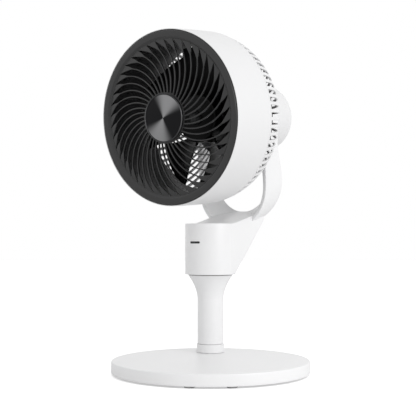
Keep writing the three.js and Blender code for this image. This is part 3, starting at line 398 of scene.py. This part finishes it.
def yoke_rings(arc_steps=44, arm_steps=30, end_steps=18):
    """The band's section at each station from the bottom to one arm's end: four edges, outer front,
    outer rear, inner rear and inner front, on arcs below, straight above and a round end."""
    arc = np.concatenate([np.linspace(-math.pi / 2, 0, arc_steps), np.zeros(arm_steps + end_steps)])
    arm = np.concatenate([np.zeros(arc_steps), np.linspace(0, 1, arm_steps + 1)[1:], np.ones(end_steps)])
    last = math.radians(88)
    end = np.concatenate([np.zeros(arc_steps + arm_steps), np.linspace(0, last, end_steps + 1)[1:]])
    share = np.clip(arm / narrow_by, 0, 1)
    ease = share * share * (3 - 2 * share)
    front = front_y + (pivot_y - arm_end - front_y) * ease + arm_end * (1 - np.cos(end))
    top = arm_end * np.sin(end)

    def edge(across_low, across_high, depth, middle, drop):
        """One edge: an arc of half-width across_low and drop about middle, then a straight arm."""
        x = across_low * np.cos(arc) * (1 - ease) + across_high * ease
        z = (middle + drop * np.sin(arc)) * (1 - arm) + pivot_z * arm + top
        return np.stack([x, depth, z], axis=-1)

    def rear(low):
        """How far back a rear edge lies, from low at the bottom to the arm's width at the pivot."""
        return low * (1 - ease) + (pivot_y + arm_end) * ease - arm_end * (1 - np.cos(end))

    outer_rear_y = rear(rear_low_y + (rear_y - rear_low_y) * np.cos(arc))
    return np.stack([
        edge(outer_front, arm_outer, front, front_z, outer_front),
        edge(outer_rear, arm_outer, outer_rear_y, rear_z, outer_rear),
        edge(inner_rear, arm_inner, rear(crest_y), inner_rear_z, inner_rear_drop),
        edge(inner_front, arm_inner, front, front_z, inner_front)], axis=1)


half_band = soften(yoke_rings(), band_edge, steps=5)
yoke_points = np.concatenate([half_band[:0:-1] * [-1, 1, 1], half_band])
fit(surface("yoke_band", on_neck(yoke_points), ring_columns=True, capped=True, sharp=50), "neck",
    "white_plastic", white_satin, "yoke")

cap_radius, cap_face, cap_back = 13, 61.5, 59.1
cap_outline = soften([(0, cap_face), (cap_radius, cap_face), (cap_radius, cap_back), (0, cap_back)],
                     [0, 0.5, 0, 0])


def on_arm(side):
    """Places points that lie along the tilt axis, on the left (-1) or the right (1) arm."""
    return lambda points: on_neck(np.asarray(points) * [side, 1, 1] + [0, pivot_y, pivot_z])


for side, name in [(-1, "left"), (1, "right")]:
    fit(turned(f"{name}_arm_button", cap_outline, on_arm(side), axis="x", segments=72), "neck",
        "white_plastic", white_satin, f"{name}_arm_cap")


# ---- Receiver window ----
# A narrow slit of smoked glossy plastic with round ends, let into the front of the neck. The
# remote control's receiver sits behind it.

window_z, window_half, window_rise, window_proud = 171, 8.5, 1.5, 0.1


def window_patch(steps=14):
    """Rings that shrink from an outline with two straight sides and two half rounds to its middle
    line, bent round the column; the outermost ring is turned down into the column."""
    reach = window_half - window_rise
    line = np.linspace(reach, -reach, steps)
    middle = np.concatenate([line, np.full(steps, -reach), line[::-1], np.full(steps, reach)])
    quarter = math.pi / 2
    turn = np.concatenate([np.full(steps, quarter), np.linspace(quarter, 3 * quarter, steps),
                           np.full(steps, 3 * quarter), np.linspace(-quarter, quarter, steps)])
    scale = np.array([1, 1, 0.8, 0.4, 0])[:, None] * window_rise
    sink = np.array([1.2, 0.05, 0, 0, 0])[:, None]
    angle = (middle + scale * np.cos(turn)) / column_radius
    radius = column_radius + window_proud - sink + 0 * angle
    return np.stack([radius * np.sin(angle), -radius * np.cos(angle), window_z + scale * np.sin(turn)],
                    axis=-1)


smoked = moulded("smoked_window", (0.006, 0.006, 0.007), 0.09, depth=0, fade=0)
fit(surface("receiver_slit", on_neck(window_patch()), ring_columns=True, capped=True), "neck",
    "black_plastic", smoked, "receiver_window")


# ---- Drum shell ----
# The white barrel round the front of the head. It swells very slightly from its lip to its seam,
# where the slotted rear guard begins. The head's white is a shade darker than the rest: painted shade, a darker
# copy of the same white plastic.

fan_axis = np.array(joints["fan_spin"]["axis"])
head_axes = np.array([across, -fan_axis, np.cross(across, -fan_axis)])
seam_y, drum_front = -88.4, -158.6
lip_radius, middle_radius, seam_radius, drum_bore = 117.6, 119.4, 119.5, 117
land_bore, land_rear, land_front, lip_bore = 114.9, -141.8, -153, 116.7


def on_head(points):
    """Millimetres across, rearward and up from the tilt axis, along the head's own axes, in metres."""
    return (np.asarray(points) @ head_axes + pivot) / 1000


swell = np.linspace(0, 1, 30)
lip_bevel = 0.5
drum_side = np.stack([
    lip_radius * (1 - swell) ** 2 + 2 * middle_radius * swell * (1 - swell) + seam_radius * swell ** 2,
    drum_front + lip_bevel + (seam_y - drum_front - lip_bevel) * swell], axis=-1)
drum_inside = [(drum_bore, seam_y), (land_bore, land_rear), (land_bore, land_front), (lip_bore, land_front),
               (lip_bore, drum_front + 0.3), (lip_bore + 0.3, drum_front), (lip_radius - 0.3, drum_front)]
# Painted shade: the same white satin made darker, for the drum, the rear guard and the motor housing.
white_head_painted_shade = moulded("white_head_painted_shade", (0.77, 0.77, 0.775), 0.34)
drum = turned("drum_barrel", np.concatenate([drum_side, drum_inside]), on_head, axis="y", segments=256)
fit(drum, "head", "white_plastic", white_head_painted_shade, "drum_shell")


# ---- Front grille ----
# One black moulding: a flat rim with a small ledge round it, a hub, and 42 ribs that sweep as they
# run outwards. A rib is a thin fin with a rounded crest, and widens near the rim to close the slots.

rib_count, rib_width, rib_depth = 42, 2.1, 2.6
crest_depth, crest_fade, crest_end = 0.9, 14, 100
into_hub, into_rim = 1.5, 0.8
rim_radius, rim_inner, slot_tip, hub_radius, hub_thick = 116.2, 107, 104.5, 34, 4
rim_front, rim_back = -159.4, -153.3
crown, sink_at_tip = 5, 2.3
turn_per_mm, turn_growth = 0.3127, 0.00227  # degrees of sweep
closing = [(88, 0), (93, 0.28), (98, 0.61), (102, 0.78), (slot_tip, 1.02)]  # radius, share filled
ledge_radius, ledge_drop = 115, 1.1
rim_bore, hub_crown = slot_tip - 0.2, 0.7
black_satin = moulded("black_satin", (0.017, 0.017, 0.0175), 0.36, grain=0.0004, depth=0.1, fade=0.1)


def grille_front(radius):
    """The grille's shallow dome: 5 mm proud at the middle, 2.3 mm behind the rim at the slots' tips."""
    return rim_front - crown + (crown + sink_at_tip) * (radius / slot_tip) ** 2


def rib_fins(rows=46):
    """42 closed fins. A fin's middle angle is a start angle plus a sweep in the first and second
    power of the run from the hub. Its half-width is an angle that grows near the rim, and its
    section is a crest in front and a narrower back."""
    radius = np.linspace(hub_radius - into_hub, slot_tip + into_rim, rows)
    run = np.clip(radius - hub_radius, 0, None)
    sweep = np.radians(turn_per_mm * run + turn_growth * run ** 2)
    pitch = 2 * math.pi / rib_count
    share = np.interp(radius, *np.transpose(closing))
    half = np.maximum(rib_width / radius, share * pitch) / 2
    round_depth = crest_depth * np.clip((crest_end - radius) / crest_fade, 0, 1)
    offset = np.array([-1, -0.93, -0.72, -0.4, 0, 0.4, 0.72, 0.93, 1, 0.7, 0, -0.7])
    sink = np.array([1, 0.6, 0.28, 0.07, 0, 0.07, 0.28, 0.6, 1, 0, 0, 0])
    is_back = np.arange(len(sink)) > 8
    start = np.arange(rib_count)[:, None, None] * pitch
    angle = start + (sweep[:, None] + half[:, None] * offset)[None]
    depth = np.where(is_back, rib_depth, sink * round_depth[:, None])
    y = (grille_front(radius)[:, None] + depth)[None] + 0 * angle
    spread = radius[None, :, None]
    return np.stack([spread * np.cos(angle), y, spread * np.sin(angle)], axis=-1)


fins = surface("grille_ribs", on_head(rib_fins()), ring_columns=True, capped=True, sharp=55)
fit(fins, "head", "black_plastic", black_satin, "front_grille")
rim_outline = soften(
    [(rim_bore, grille_front(slot_tip)), (rim_inner, rim_front), (ledge_radius - 0.5, rim_front),
     (ledge_radius, rim_front + 0.8), (rim_radius, rim_front + ledge_drop), (rim_radius, rim_back),
     (rim_bore, rim_back)],
    [0.1, 0.8, 0.3, 0.2, 0.4, 0.3, 0.1])
rim = turned("grille_rim", rim_outline, on_head, axis="y", segments=256)
fit(rim, "head", "black_plastic", black_satin, "front_grille")
hub_front = grille_front(hub_radius)
hub_outline = soften(
    [(0, hub_front - hub_crown), (hub_radius, hub_front), (hub_radius, hub_front + hub_thick),
     (0, hub_front + hub_thick)],
    [0, 0.5, 0.3, 0])
fit(turned("grille_hub", hub_outline, on_head, axis="y", segments=160), "head", "black_plastic", black_satin,
    "front_grille")


# ---- Badge ----
# A plain disc of dark aluminium with a spun face, set in a thin bright ring on the hub. The
# spinning tool's grooves run round it. The wedges of light that meet at the middle are painted highlights in the
# colour of the disc and of the ring.

badge_radius, badge_front, badge_back, badge_crown = 30.8, -166.0, -164.7, 0.4
ring_inner, ring_outer = 31.1, 32.8
badge_centre = (pivot + fan_axis * -badge_front) / 1000
head_turn = Matrix(head_axes.T.tolist()).to_euler()


def spun_rings_painted_wedges():
    """A node group for a face that was spun on a lathe: rings from the distance to the middle, and
    wedges of painted highlight from the angle round it."""
    group = bpy.data.node_groups.new("spun_rings_painted_wedges", "ShaderNodeTree")
    face = group.interface
    face.new_socket("Vector", in_out="INPUT", socket_type="NodeSocketVector")
    face.new_socket("Turn", in_out="INPUT", socket_type="NodeSocketFloat").default_value = 0
    face.new_socket("Painted highlight", in_out="OUTPUT", socket_type="NodeSocketFloat")
    face.new_socket("Rings", in_out="OUTPUT", socket_type="NodeSocketFloat")
    make, link = group.nodes.new, group.links.new
    given, given_out = make("NodeGroupInput"), make("NodeGroupOutput")
    apart = make("ShaderNodeSeparateXYZ")
    link(given.outputs["Vector"], apart.inputs[0])
    angle = make("ShaderNodeMath")
    angle.operation = "ARCTAN2"
    link(apart.outputs["Z"], angle.inputs[0])
    link(apart.outputs["X"], angle.inputs[1])
    turned_angle = make("ShaderNodeMath")
    turned_angle.operation = "SUBTRACT"
    link(angle.outputs[0], turned_angle.inputs[0])
    link(given.outputs["Turn"], turned_angle.inputs[1])
    double = make("ShaderNodeMath")
    double.operation = "MULTIPLY"
    double.inputs[1].default_value = 2
    link(turned_angle.outputs[0], double.inputs[0])
    wave = make("ShaderNodeMath")
    wave.operation = "COSINE"
    link(double.outputs[0], wave.inputs[0])
    wedges = make("ShaderNodeMapRange")
    wedges.inputs["From Min"].default_value = -0.35
    wedges.interpolation_type = "SMOOTHSTEP"
    link(wave.outputs[0], wedges.inputs["Value"])
    link(wedges.outputs[0], given_out.inputs["Painted highlight"])
    radial = make("ShaderNodeVectorMath")
    radial.operation = "LENGTH"
    link(given.outputs["Vector"], radial.inputs[0])
    grooves = make("ShaderNodeTexNoise")
    grooves.noise_dimensions = "1D"
    grooves.inputs["Scale"].default_value = 2600
    grooves.inputs["Detail"].default_value = 4
    link(radial.outputs["Value"], grooves.inputs["W"])
    link(grooves.outputs["Fac"], given_out.inputs["Rings"])
    return group


def spun_metal_painted_highlights(name, dark, bright, roughness, centre, turn):
    """Spun metal: wedges of painted highlight and painted shade, from a dark to a bright tone in the colour, and
    rings in roughness and bump.
    """
    material, make, link, shader = plain_finish(name)
    spot = make("ShaderNodeMapping")
    spot.vector_type = "TEXTURE"
    spot.inputs["Location"].default_value = centre
    spot.inputs["Rotation"].default_value = head_turn
    link(make("ShaderNodeTexCoord").outputs["Object"], spot.inputs["Vector"])
    spun = place_group(make, link, spun_rings_painted_wedges_group, spot.outputs["Vector"], Turn=turn)
    # Painted highlight: the colour runs from the dark tone to the bright one by the wedges, at the given turn.
    tone = make("ShaderNodeMix")
    tone.data_type = "RGBA"
    tone.inputs["A"].default_value = (*dark, 1)
    tone.inputs["B"].default_value = (*bright, 1)
    link(spun.outputs["Painted highlight"], tone.inputs["Factor"])
    ringed = make("ShaderNodeMapRange")
    ringed.inputs["To Min"].default_value = roughness - 0.06
    ringed.inputs["To Max"].default_value = roughness + 0.08
    link(spun.outputs["Rings"], ringed.inputs["Value"])
    bump = make("ShaderNodeBump")
    bump.inputs["Strength"].default_value = 0.12
    bump.inputs["Distance"].default_value = 0.00005
    link(spun.outputs["Rings"], bump.inputs["Height"])
    shader.inputs["Metallic"].default_value = 1
    link(tone.outputs["Result"], shader.inputs["Base Color"])
    link(ringed.outputs[0], shader.inputs["Roughness"])
    link(bump.outputs["Normal"], shader.inputs["Normal"])
    return material


spun_rings_painted_wedges_group = spun_rings_painted_wedges()
# The badge's colour has painted highlight wedges, turned 66 degrees, between a near black and a mid grey.
badge_metal = spun_metal_painted_highlights("badge_painted_highlights", (0.014, 0.014, 0.015), (0.26, 0.26, 0.265), 0.34, badge_centre,
                         math.radians(66))
badge_outline = soften([(0, badge_front - badge_crown), (badge_radius, badge_front),
                        (badge_radius, badge_back), (0, badge_back)], [0, 0.3, 0, 0])
fit(turned("badge_disc", badge_outline, on_head, axis="y", segments=160), "head", "spun_badge", badge_metal,
    "grille_badge")
# The ring's colour also has painted highlight wedges, between two dark greys.
ring_metal = spun_metal_painted_highlights("badge_ring_painted_highlights", (0.05, 0.05, 0.052), (0.11, 0.11, 0.113), 0.3, badge_centre, 0)
ring_front = badge_front - badge_crown
ring_outline = soften([(ring_inner, badge_back), (ring_inner, ring_front), (ring_outer, ring_front),
                       (ring_outer, badge_back)], [0, 0.4, 0.6, 0])
fit(turned("badge_bezel", ring_outline, on_head, axis="y", segments=160), "head", "steel", ring_metal,
    "badge_ring")


# ---- Air duct ----
# A dark grey ring inside the barrel that leads the air to the blades and on into the guard. Its
# flange is screwed to the rear guard.

duct_inner, duct_outer, duct_front, duct_rear = 105.5, 107.5, -152.5, -66
flange_radius, flange_front, flange_back = 116.4, -92, -90
duct_grey = moulded("duct_grey", (0.035, 0.035, 0.036), 0.4, depth=0.06, fade=0.1)
duct_outline = soften(
    [(duct_inner, duct_front), (duct_outer, duct_front), (duct_outer, flange_front),
     (flange_radius, flange_front), (flange_radius, flange_back), (duct_outer, flange_back),
     (duct_outer, duct_rear), (duct_inner, duct_rear)], [1.0, 0.3, 0.5, 0.3, 0.3, 0.5, 0.3, 1.0])
fit(turned("duct_wall", duct_outline, on_head, axis="y", segments=192), "head", "grey_plastic", duct_grey,
    "duct_ring")


# ---- Rear guard ----
# The white dome behind the drum, moulded in one with 72 bars. The bars start at a narrow ring by
# the drum's seam and run round the dome to a flat ring in front of the motor's housing.

bar_count, bar_share, bar_edge = 72, 0.44, 0.55
guard_radius, guard_rear_radius, guard_start, guard_end, guard_wall = 119.5, 66.4, -86.3, -23.2, 2.5
seam_front, seam_back = -88.1, -85.9
slot_end, rear_inner = 56, 39
tuck = 1  # how far a bar reaches into the seam ring
most_drawn_in = 1.8


def guard_bars(rows=22, tail=4):
    """72 closed bars. A bar follows a quarter ellipse from the seam ring to the rear face, then runs
    straight inwards; it is a share of the pitch wide, so it narrows towards the middle. The ellipse
    is drawn in a little between its ends, by the root of the sine of twice the angle."""
    bend = np.linspace(0, math.pi / 2, rows)
    drawn_in = most_drawn_in * np.sqrt(np.abs(np.sin(2 * bend)))
    depth, reach = guard_end - guard_start, guard_radius - guard_rear_radius
    inward = np.linspace(guard_rear_radius, slot_end - 2, tail + 1)[1:]

    def path(inset):
        """The bar's outer line, or its inner one at an inset: [radius, y] points."""
        radius = np.concatenate([guard_rear_radius + (reach - inset - drawn_in) * np.cos(bend), inward])
        y = np.concatenate([guard_start + (depth - inset - drawn_in) * np.sin(bend),
                            np.full(tail, guard_end - inset)])
        y[0] -= tuck
        return np.stack([radius, y], axis=-1)

    lines = np.stack([path(0), path(guard_wall)])
    half = bar_share * math.pi / bar_count
    side = np.array([-1, 1, 1, -1])
    line = lines[[0, 0, 1, 1]].swapaxes(0, 1)
    angle = side * half
    square = np.stack([line[..., 0] * np.cos(angle), line[..., 1], line[..., 0] * np.sin(angle)], axis=-1)
    ring = soften(square, bar_edge, steps=3)
    turn = np.arange(bar_count) * 2 * math.pi / bar_count
    c, s = np.cos(turn)[:, None, None], np.sin(turn)[:, None, None]
    return np.stack([ring[..., 0] * c - ring[..., 2] * s, ring[..., 1] + 0 * c,
                     ring[..., 0] * s + ring[..., 2] * c], axis=-1)


fit(surface("guard_bars", on_head(guard_bars()), ring_columns=True, capped=True, sharp=60), "head",
    "white_plastic", white_head_painted_shade, "rear_guard")
seam_outline = soften(
    [(guard_radius, seam_front), (guard_radius, seam_back), (guard_radius - guard_wall, seam_back),
     (guard_radius - guard_wall, seam_front)], [0.15, 0.5, 0.5, 0.1])
fit(turned("guard_seam_ring", seam_outline, on_head, axis="y", segments=256), "head", "white_plastic",
    white_head_painted_shade, "rear_guard")
rear_outline = soften(
    [(rear_inner, guard_end), (slot_end, guard_end), (slot_end, guard_end - guard_wall),
     (rear_inner, guard_end - guard_wall)], [0.3, 0.6, 0.6, 0.3])
fit(turned("guard_rear_ring", rear_outline, on_head, axis="y", segments=160), "head", "white_plastic",
    white_head_painted_shade, "rear_guard")


# ---- Motor housing ----
# A deep white moulding behind the guard, held by three screws, with a large round at its rear edge.
# Two hubs on its sides hold the bushes that the head tilts on.

housing_radius, housing_front, housing_wall = 50, -21.6, 2.5
housing_end, housing_crown = 81.6, 0.8
housing_edge = 18.2  # the cut of the rear corner, whose curve comes near a round of 15.6 mm
housing_bore = housing_radius - housing_wall
housing_outline = soften(
    [(0, housing_end + housing_crown), (housing_radius, housing_end), (housing_radius, housing_front),
     (housing_bore, housing_front), (housing_bore, housing_end - housing_wall),
     (0, housing_end + housing_crown - housing_wall)],
    [0, housing_edge, 0.4, 0.3, housing_edge - housing_wall, 0], steps=14)
fit(turned("housing_cup", housing_outline, on_head, axis="y", segments=160), "head", "white_plastic",
    white_head_painted_shade, "motor_housing")
hole_radius, boss_radius, boss_from, boss_to = 7.3, 12, 36.7, 52
hub_ring = soften([(hole_radius, boss_from), (boss_radius, boss_from), (boss_radius, boss_to),
                   (hole_radius, boss_to)], [0.2, 0.2, 0.8, 0.4])


def on_head_side(side):
    """Places points that lie along the tilt axis, on the head's left (-1) or right (1) side."""
    return lambda points: on_head(np.asarray(points) * [side, 1, 1])


for side, name in [(-1, "left"), (1, "right")]:
    fit(turned(f"{name}_pivot_hub", hub_ring, on_head_side(side), axis="x", segments=72), "head",
        "white_plastic", white_head_painted_shade, "motor_housing")


# ---- Impeller ----
# A black cup with seven broad, twisted blades that lean back, moulded in one. It is pushed on the
# motor's shaft, and a round nut holds it.

blade_count, blade_middle, blade_bow, blade_half_thick = 7, -76, 5, 1.1
root_chord, tip_chord = 44, 104
root_pitch, tip_pitch, root_lean, tip_lean = 48, 22, 30, 20  # degrees
cup_radius, cup_front, cup_rear, cup_wall, blade_tip = 34, -96, -52, 2.5, 99
shaft_bore, sleeve_radius, sleeve_rear = 3.3, 8, -74
black_skin = moulded("impeller_black", (0.004, 0.004, 0.0042), 0.35, depth=0.03, fade=0.1)
black_skin.node_tree.nodes["Principled BSDF"].inputs["Specular IOR Level"].default_value = 0.12
cup_outline = soften(
    [(shaft_bore, cup_front), (cup_radius, cup_front), (cup_radius, cup_rear),
     (cup_radius - cup_wall, cup_rear), (cup_radius - cup_wall, cup_front + cup_wall),
     (sleeve_radius, cup_front + cup_wall), (sleeve_radius, sleeve_rear), (shaft_bore, sleeve_rear)],
    [0.2, 4.5, 0.5, 0.3, 3.0, 0.5, 0.4, 0.2])
fit(turned("impeller_cup", cup_outline, on_head, axis="y", segments=120), "impeller", "dark_plastic",
    black_skin, "impeller")


def blades(rows=26, columns=15):
    """Seven closed blades. From root to tip the chord, the pitch and the lean, the angle round the
    axis, change in step with the radius. Across the chord a blade bows like a parabola, and thins
    towards its edges like another."""
    radius = np.linspace(cup_radius - 1.2, blade_tip, rows)[:, None]
    share = (radius - cup_radius) / (blade_tip - cup_radius)
    chord = root_chord + (tip_chord - root_chord) * share
    pitch = np.radians(root_pitch + (tip_pitch - root_pitch) * share)
    lean_angle = np.radians(root_lean + (tip_lean - root_lean) * share)
    along = np.linspace(-0.5, 0.5, columns)
    along = np.concatenate([along, along[::-1]])[None]
    side = np.concatenate([-np.ones(columns), np.ones(columns)])[None]
    rise = blade_bow * (1 - 4 * along ** 2) + side * blade_half_thick * (1.1 - 3 * along ** 2)
    across_chord = rise * np.sin(pitch) - along * chord * np.cos(pitch)
    deep = along * chord * np.sin(pitch) + rise * np.cos(pitch)
    start = (np.arange(blade_count) * 2 * math.pi / blade_count)[:, None, None]
    angle = start + (across_chord / radius + lean_angle)[None]
    y = blade_middle + deep[None] + 0 * angle
    return np.stack([radius[None] * np.cos(angle), y, radius[None] * np.sin(angle)], axis=-1)


fit(surface("impeller_blades", on_head(blades()), ring_columns=True, capped=True, sharp=50), "impeller",
    "dark_plastic", black_skin, "impeller")


# ---- Finishes of the pieces that keep their CAD shape ----
# Screws, boards, motors and the parts under the base are seen through slots or from behind. Each
# gets the finish of its own material, but the rubber feet are painted light: a pale grey against the shade under
# the base.

def brushed_steel(name, colour, roughness):
    """Bare steel: a stretched grain that varies the roughness and the bump."""
    material, make, link, shader = plain_finish(name)
    spot = make("ShaderNodeMapping")
    spot.inputs["Scale"].default_value = (1, 1, 14)
    link(make("ShaderNodeTexCoord").outputs["Object"], spot.inputs["Vector"])
    skin = place_group(make, link, MOULDED_GRAIN, spot.outputs["Vector"], Grain_size=0.002,
                       Roughness=roughness, Drift=0.12)
    tone = place_group(make, link, SOFT_TONE, spot.outputs["Vector"], Colour=(*colour, 1), Fade=0.15)
    bump = make("ShaderNodeBump")
    bump.inputs["Strength"].default_value = 0.1
    bump.inputs["Distance"].default_value = 0.0001
    link(skin.outputs["Height"], bump.inputs["Height"])
    shader.inputs["Metallic"].default_value = 1
    link(tone.outputs["Colour"], shader.inputs["Base Color"])
    link(skin.outputs["Roughness"], shader.inputs["Roughness"])
    link(bump.outputs["Normal"], shader.inputs["Normal"])
    return material


def board_face(name):
    """A printed board: green lacquer over a net of copper tracks, from the edges of square cells."""
    material, make, link, shader = plain_finish(name)
    spot = make("ShaderNodeTexCoord").outputs["Object"]
    tracks = make("ShaderNodeTexBrick")
    tracks.inputs["Scale"].default_value = 90
    tracks.inputs["Mortar Size"].default_value = 0.03
    tracks.inputs["Color1"].default_value = (0.012, 0.09, 0.035, 1)
    tracks.inputs["Color2"].default_value = (0.014, 0.1, 0.04, 1)
    tracks.inputs["Mortar"].default_value = (0.05, 0.2, 0.08, 1)
    link(spot, tracks.inputs["Vector"])
    link(tracks.outputs["Color"], shader.inputs["Base Color"])
    skin = place_group(make, link, MOULDED_GRAIN, spot, Grain_size=0.001, Roughness=0.35, Drift=0.1)
    link(skin.outputs["Roughness"], shader.inputs["Roughness"])
    return material


def copper_windings(name):
    """Enamelled copper wire on a core: narrow bands across the head's axis."""
    material, make, link, shader = plain_finish(name)
    spot = make("ShaderNodeTexCoord").outputs["Object"]
    wires = make("ShaderNodeTexWave")
    wires.inputs["Scale"].default_value = 300
    wires.inputs["Distortion"].default_value = 1
    link(spot, wires.inputs["Vector"])
    tone = make("ShaderNodeMix")
    tone.data_type = "RGBA"
    tone.inputs["A"].default_value = (0.35, 0.12, 0.04, 1)
    tone.inputs["B"].default_value = (0.7, 0.32, 0.13, 1)
    link(wires.outputs["Fac"], tone.inputs["Factor"])
    link(tone.outputs["Result"], shader.inputs["Base Color"])
    bump = make("ShaderNodeBump")
    bump.inputs["Strength"].default_value = 0.4
    bump.inputs["Distance"].default_value = 0.0003
    link(wires.outputs["Fac"], bump.inputs["Height"])
    link(bump.outputs["Normal"], shader.inputs["Normal"])
    shader.inputs["Metallic"].default_value = 1
    shader.inputs["Roughness"].default_value = 0.35
    return material


slot_finish = {
    "white_plastic": white_satin,
    "black_plastic": moulded("black_inlet", (0.02, 0.02, 0.021), 0.45),
    "dark_plastic": moulded("dark_moulding", (0.03, 0.031, 0.032), 0.5, depth=0.2, fade=0.1),
    "grey_plastic": duct_grey,
    "natural_plastic": moulded("natural_gear", (0.62, 0.59, 0.5), 0.4),
    # Painted light: the feet are a pale grey, lighter than their rubber, so that they don't read dark in the shade
    # under the base.
    "rubber": moulded("foot_rubber_painted_light", (0.6, 0.6, 0.6), 0.8, grain=0.001, depth=0.4, fade=0.2),
    "steel": brushed_steel("bare_steel", (0.5, 0.51, 0.53), 0.32),
    "cast_weight": brushed_steel("cast_weight", (0.12, 0.12, 0.125), 0.7),
    "circuit_board": board_face("circuit_board"),
    "spun_badge": badge_metal,
    "windings": copper_windings("copper_windings"),
}
for part in frame["record"]["subparts"]:
    node = nodes[part["node"]]
    node.data.materials.clear()
    node.data.materials.append(slot_finish[part["material_slot"]])


# ---- Floor, light and camera ----
# A pale floor under a white surround. One large soft lamp stands to the right and in front, above
# the fan, and the surround fills the shadows. Places here are in metres.

floor_edges = (-6, 6)
floor = surface("floor", np.array([[(x, y, 0) for x in floor_edges] for y in floor_edges], float))
floor_paint, make, link, shader = plain_finish("pale_floor")
shader.inputs["Base Color"].default_value = (0.86, 0.86, 0.86, 1)
shader.inputs["Roughness"].default_value = 0.7
seen = make("ShaderNodeLightPath")
floor_glow, surround_fill = 0.5, 0.8
glow = make("ShaderNodeMath")
glow.operation = "MULTIPLY"
glow.inputs[1].default_value = floor_glow
link(seen.outputs["Is Camera Ray"], glow.inputs[0])
shader.inputs["Emission Color"].default_value = (1, 1, 1, 1)
link(glow.outputs[0], shader.inputs["Emission Strength"])
floor.data.materials.append(floor_paint)

scene = bpy.context.scene
scene.view_settings.view_transform = "Standard"
world = bpy.data.worlds.new("white_surround")
scene.world = world
world.use_nodes = True
tree = world.node_tree
path = tree.nodes.new("ShaderNodeLightPath")
mirror_or_camera = tree.nodes.new("ShaderNodeMath")
mirror_or_camera.operation = "MAXIMUM"
tree.links.new(path.outputs["Is Camera Ray"], mirror_or_camera.inputs[0])
tree.links.new(path.outputs["Is Glossy Ray"], mirror_or_camera.inputs[1])
strength = tree.nodes.new("ShaderNodeMapRange")
strength.inputs["To Min"].default_value = surround_fill
strength.inputs["To Max"].default_value = 1.0
tree.links.new(mirror_or_camera.outputs[0], strength.inputs["Value"])
background = tree.nodes["Background"]
background.inputs["Color"].default_value = (1, 1, 1, 1)
tree.links.new(strength.outputs[0], background.inputs["Strength"])


def soft_lamp(name, place, target, size, power):
    """A square area lamp at a place, turned to face a target: its axes are the direction, the level
    line square to it and the third that is square to both."""
    lamp = bpy.data.lights.new(name, "AREA")
    lamp.energy = power
    lamp.size = size
    light = bpy.data.objects.new(name, lamp)
    forward = np.array(target, float) - np.array(place, float)
    forward /= np.linalg.norm(forward)
    right = np.cross(forward, [0, 0, 1])
    right /= np.linalg.norm(right)
    up = np.cross(right, forward)
    turn = np.eye(4)
    turn[:3, 0], turn[:3, 1], turn[:3, 2], turn[:3, 3] = right, up, -forward, place
    light.matrix_world = Matrix(turn.tolist())
    scene.collection.objects.link(light)


soft_lamp("key_lamp", place=(1.6, -1.55, 0.95), target=(0, 0.05, 0.25), size=1.1, power=19)

camera_data = bpy.data.cameras.new("camera")
camera_data.lens = 77.9
camera_data.sensor_width = 36
camera = bpy.data.objects.new("camera", camera_data)
camera_pitch = math.radians(2.01)
camera.location = (-0.00342, -1.188, 0.1749)
camera.rotation_euler = (math.pi / 2 + camera_pitch, 0, 0)
scene.collection.objects.link(camera)
scene.camera = camera
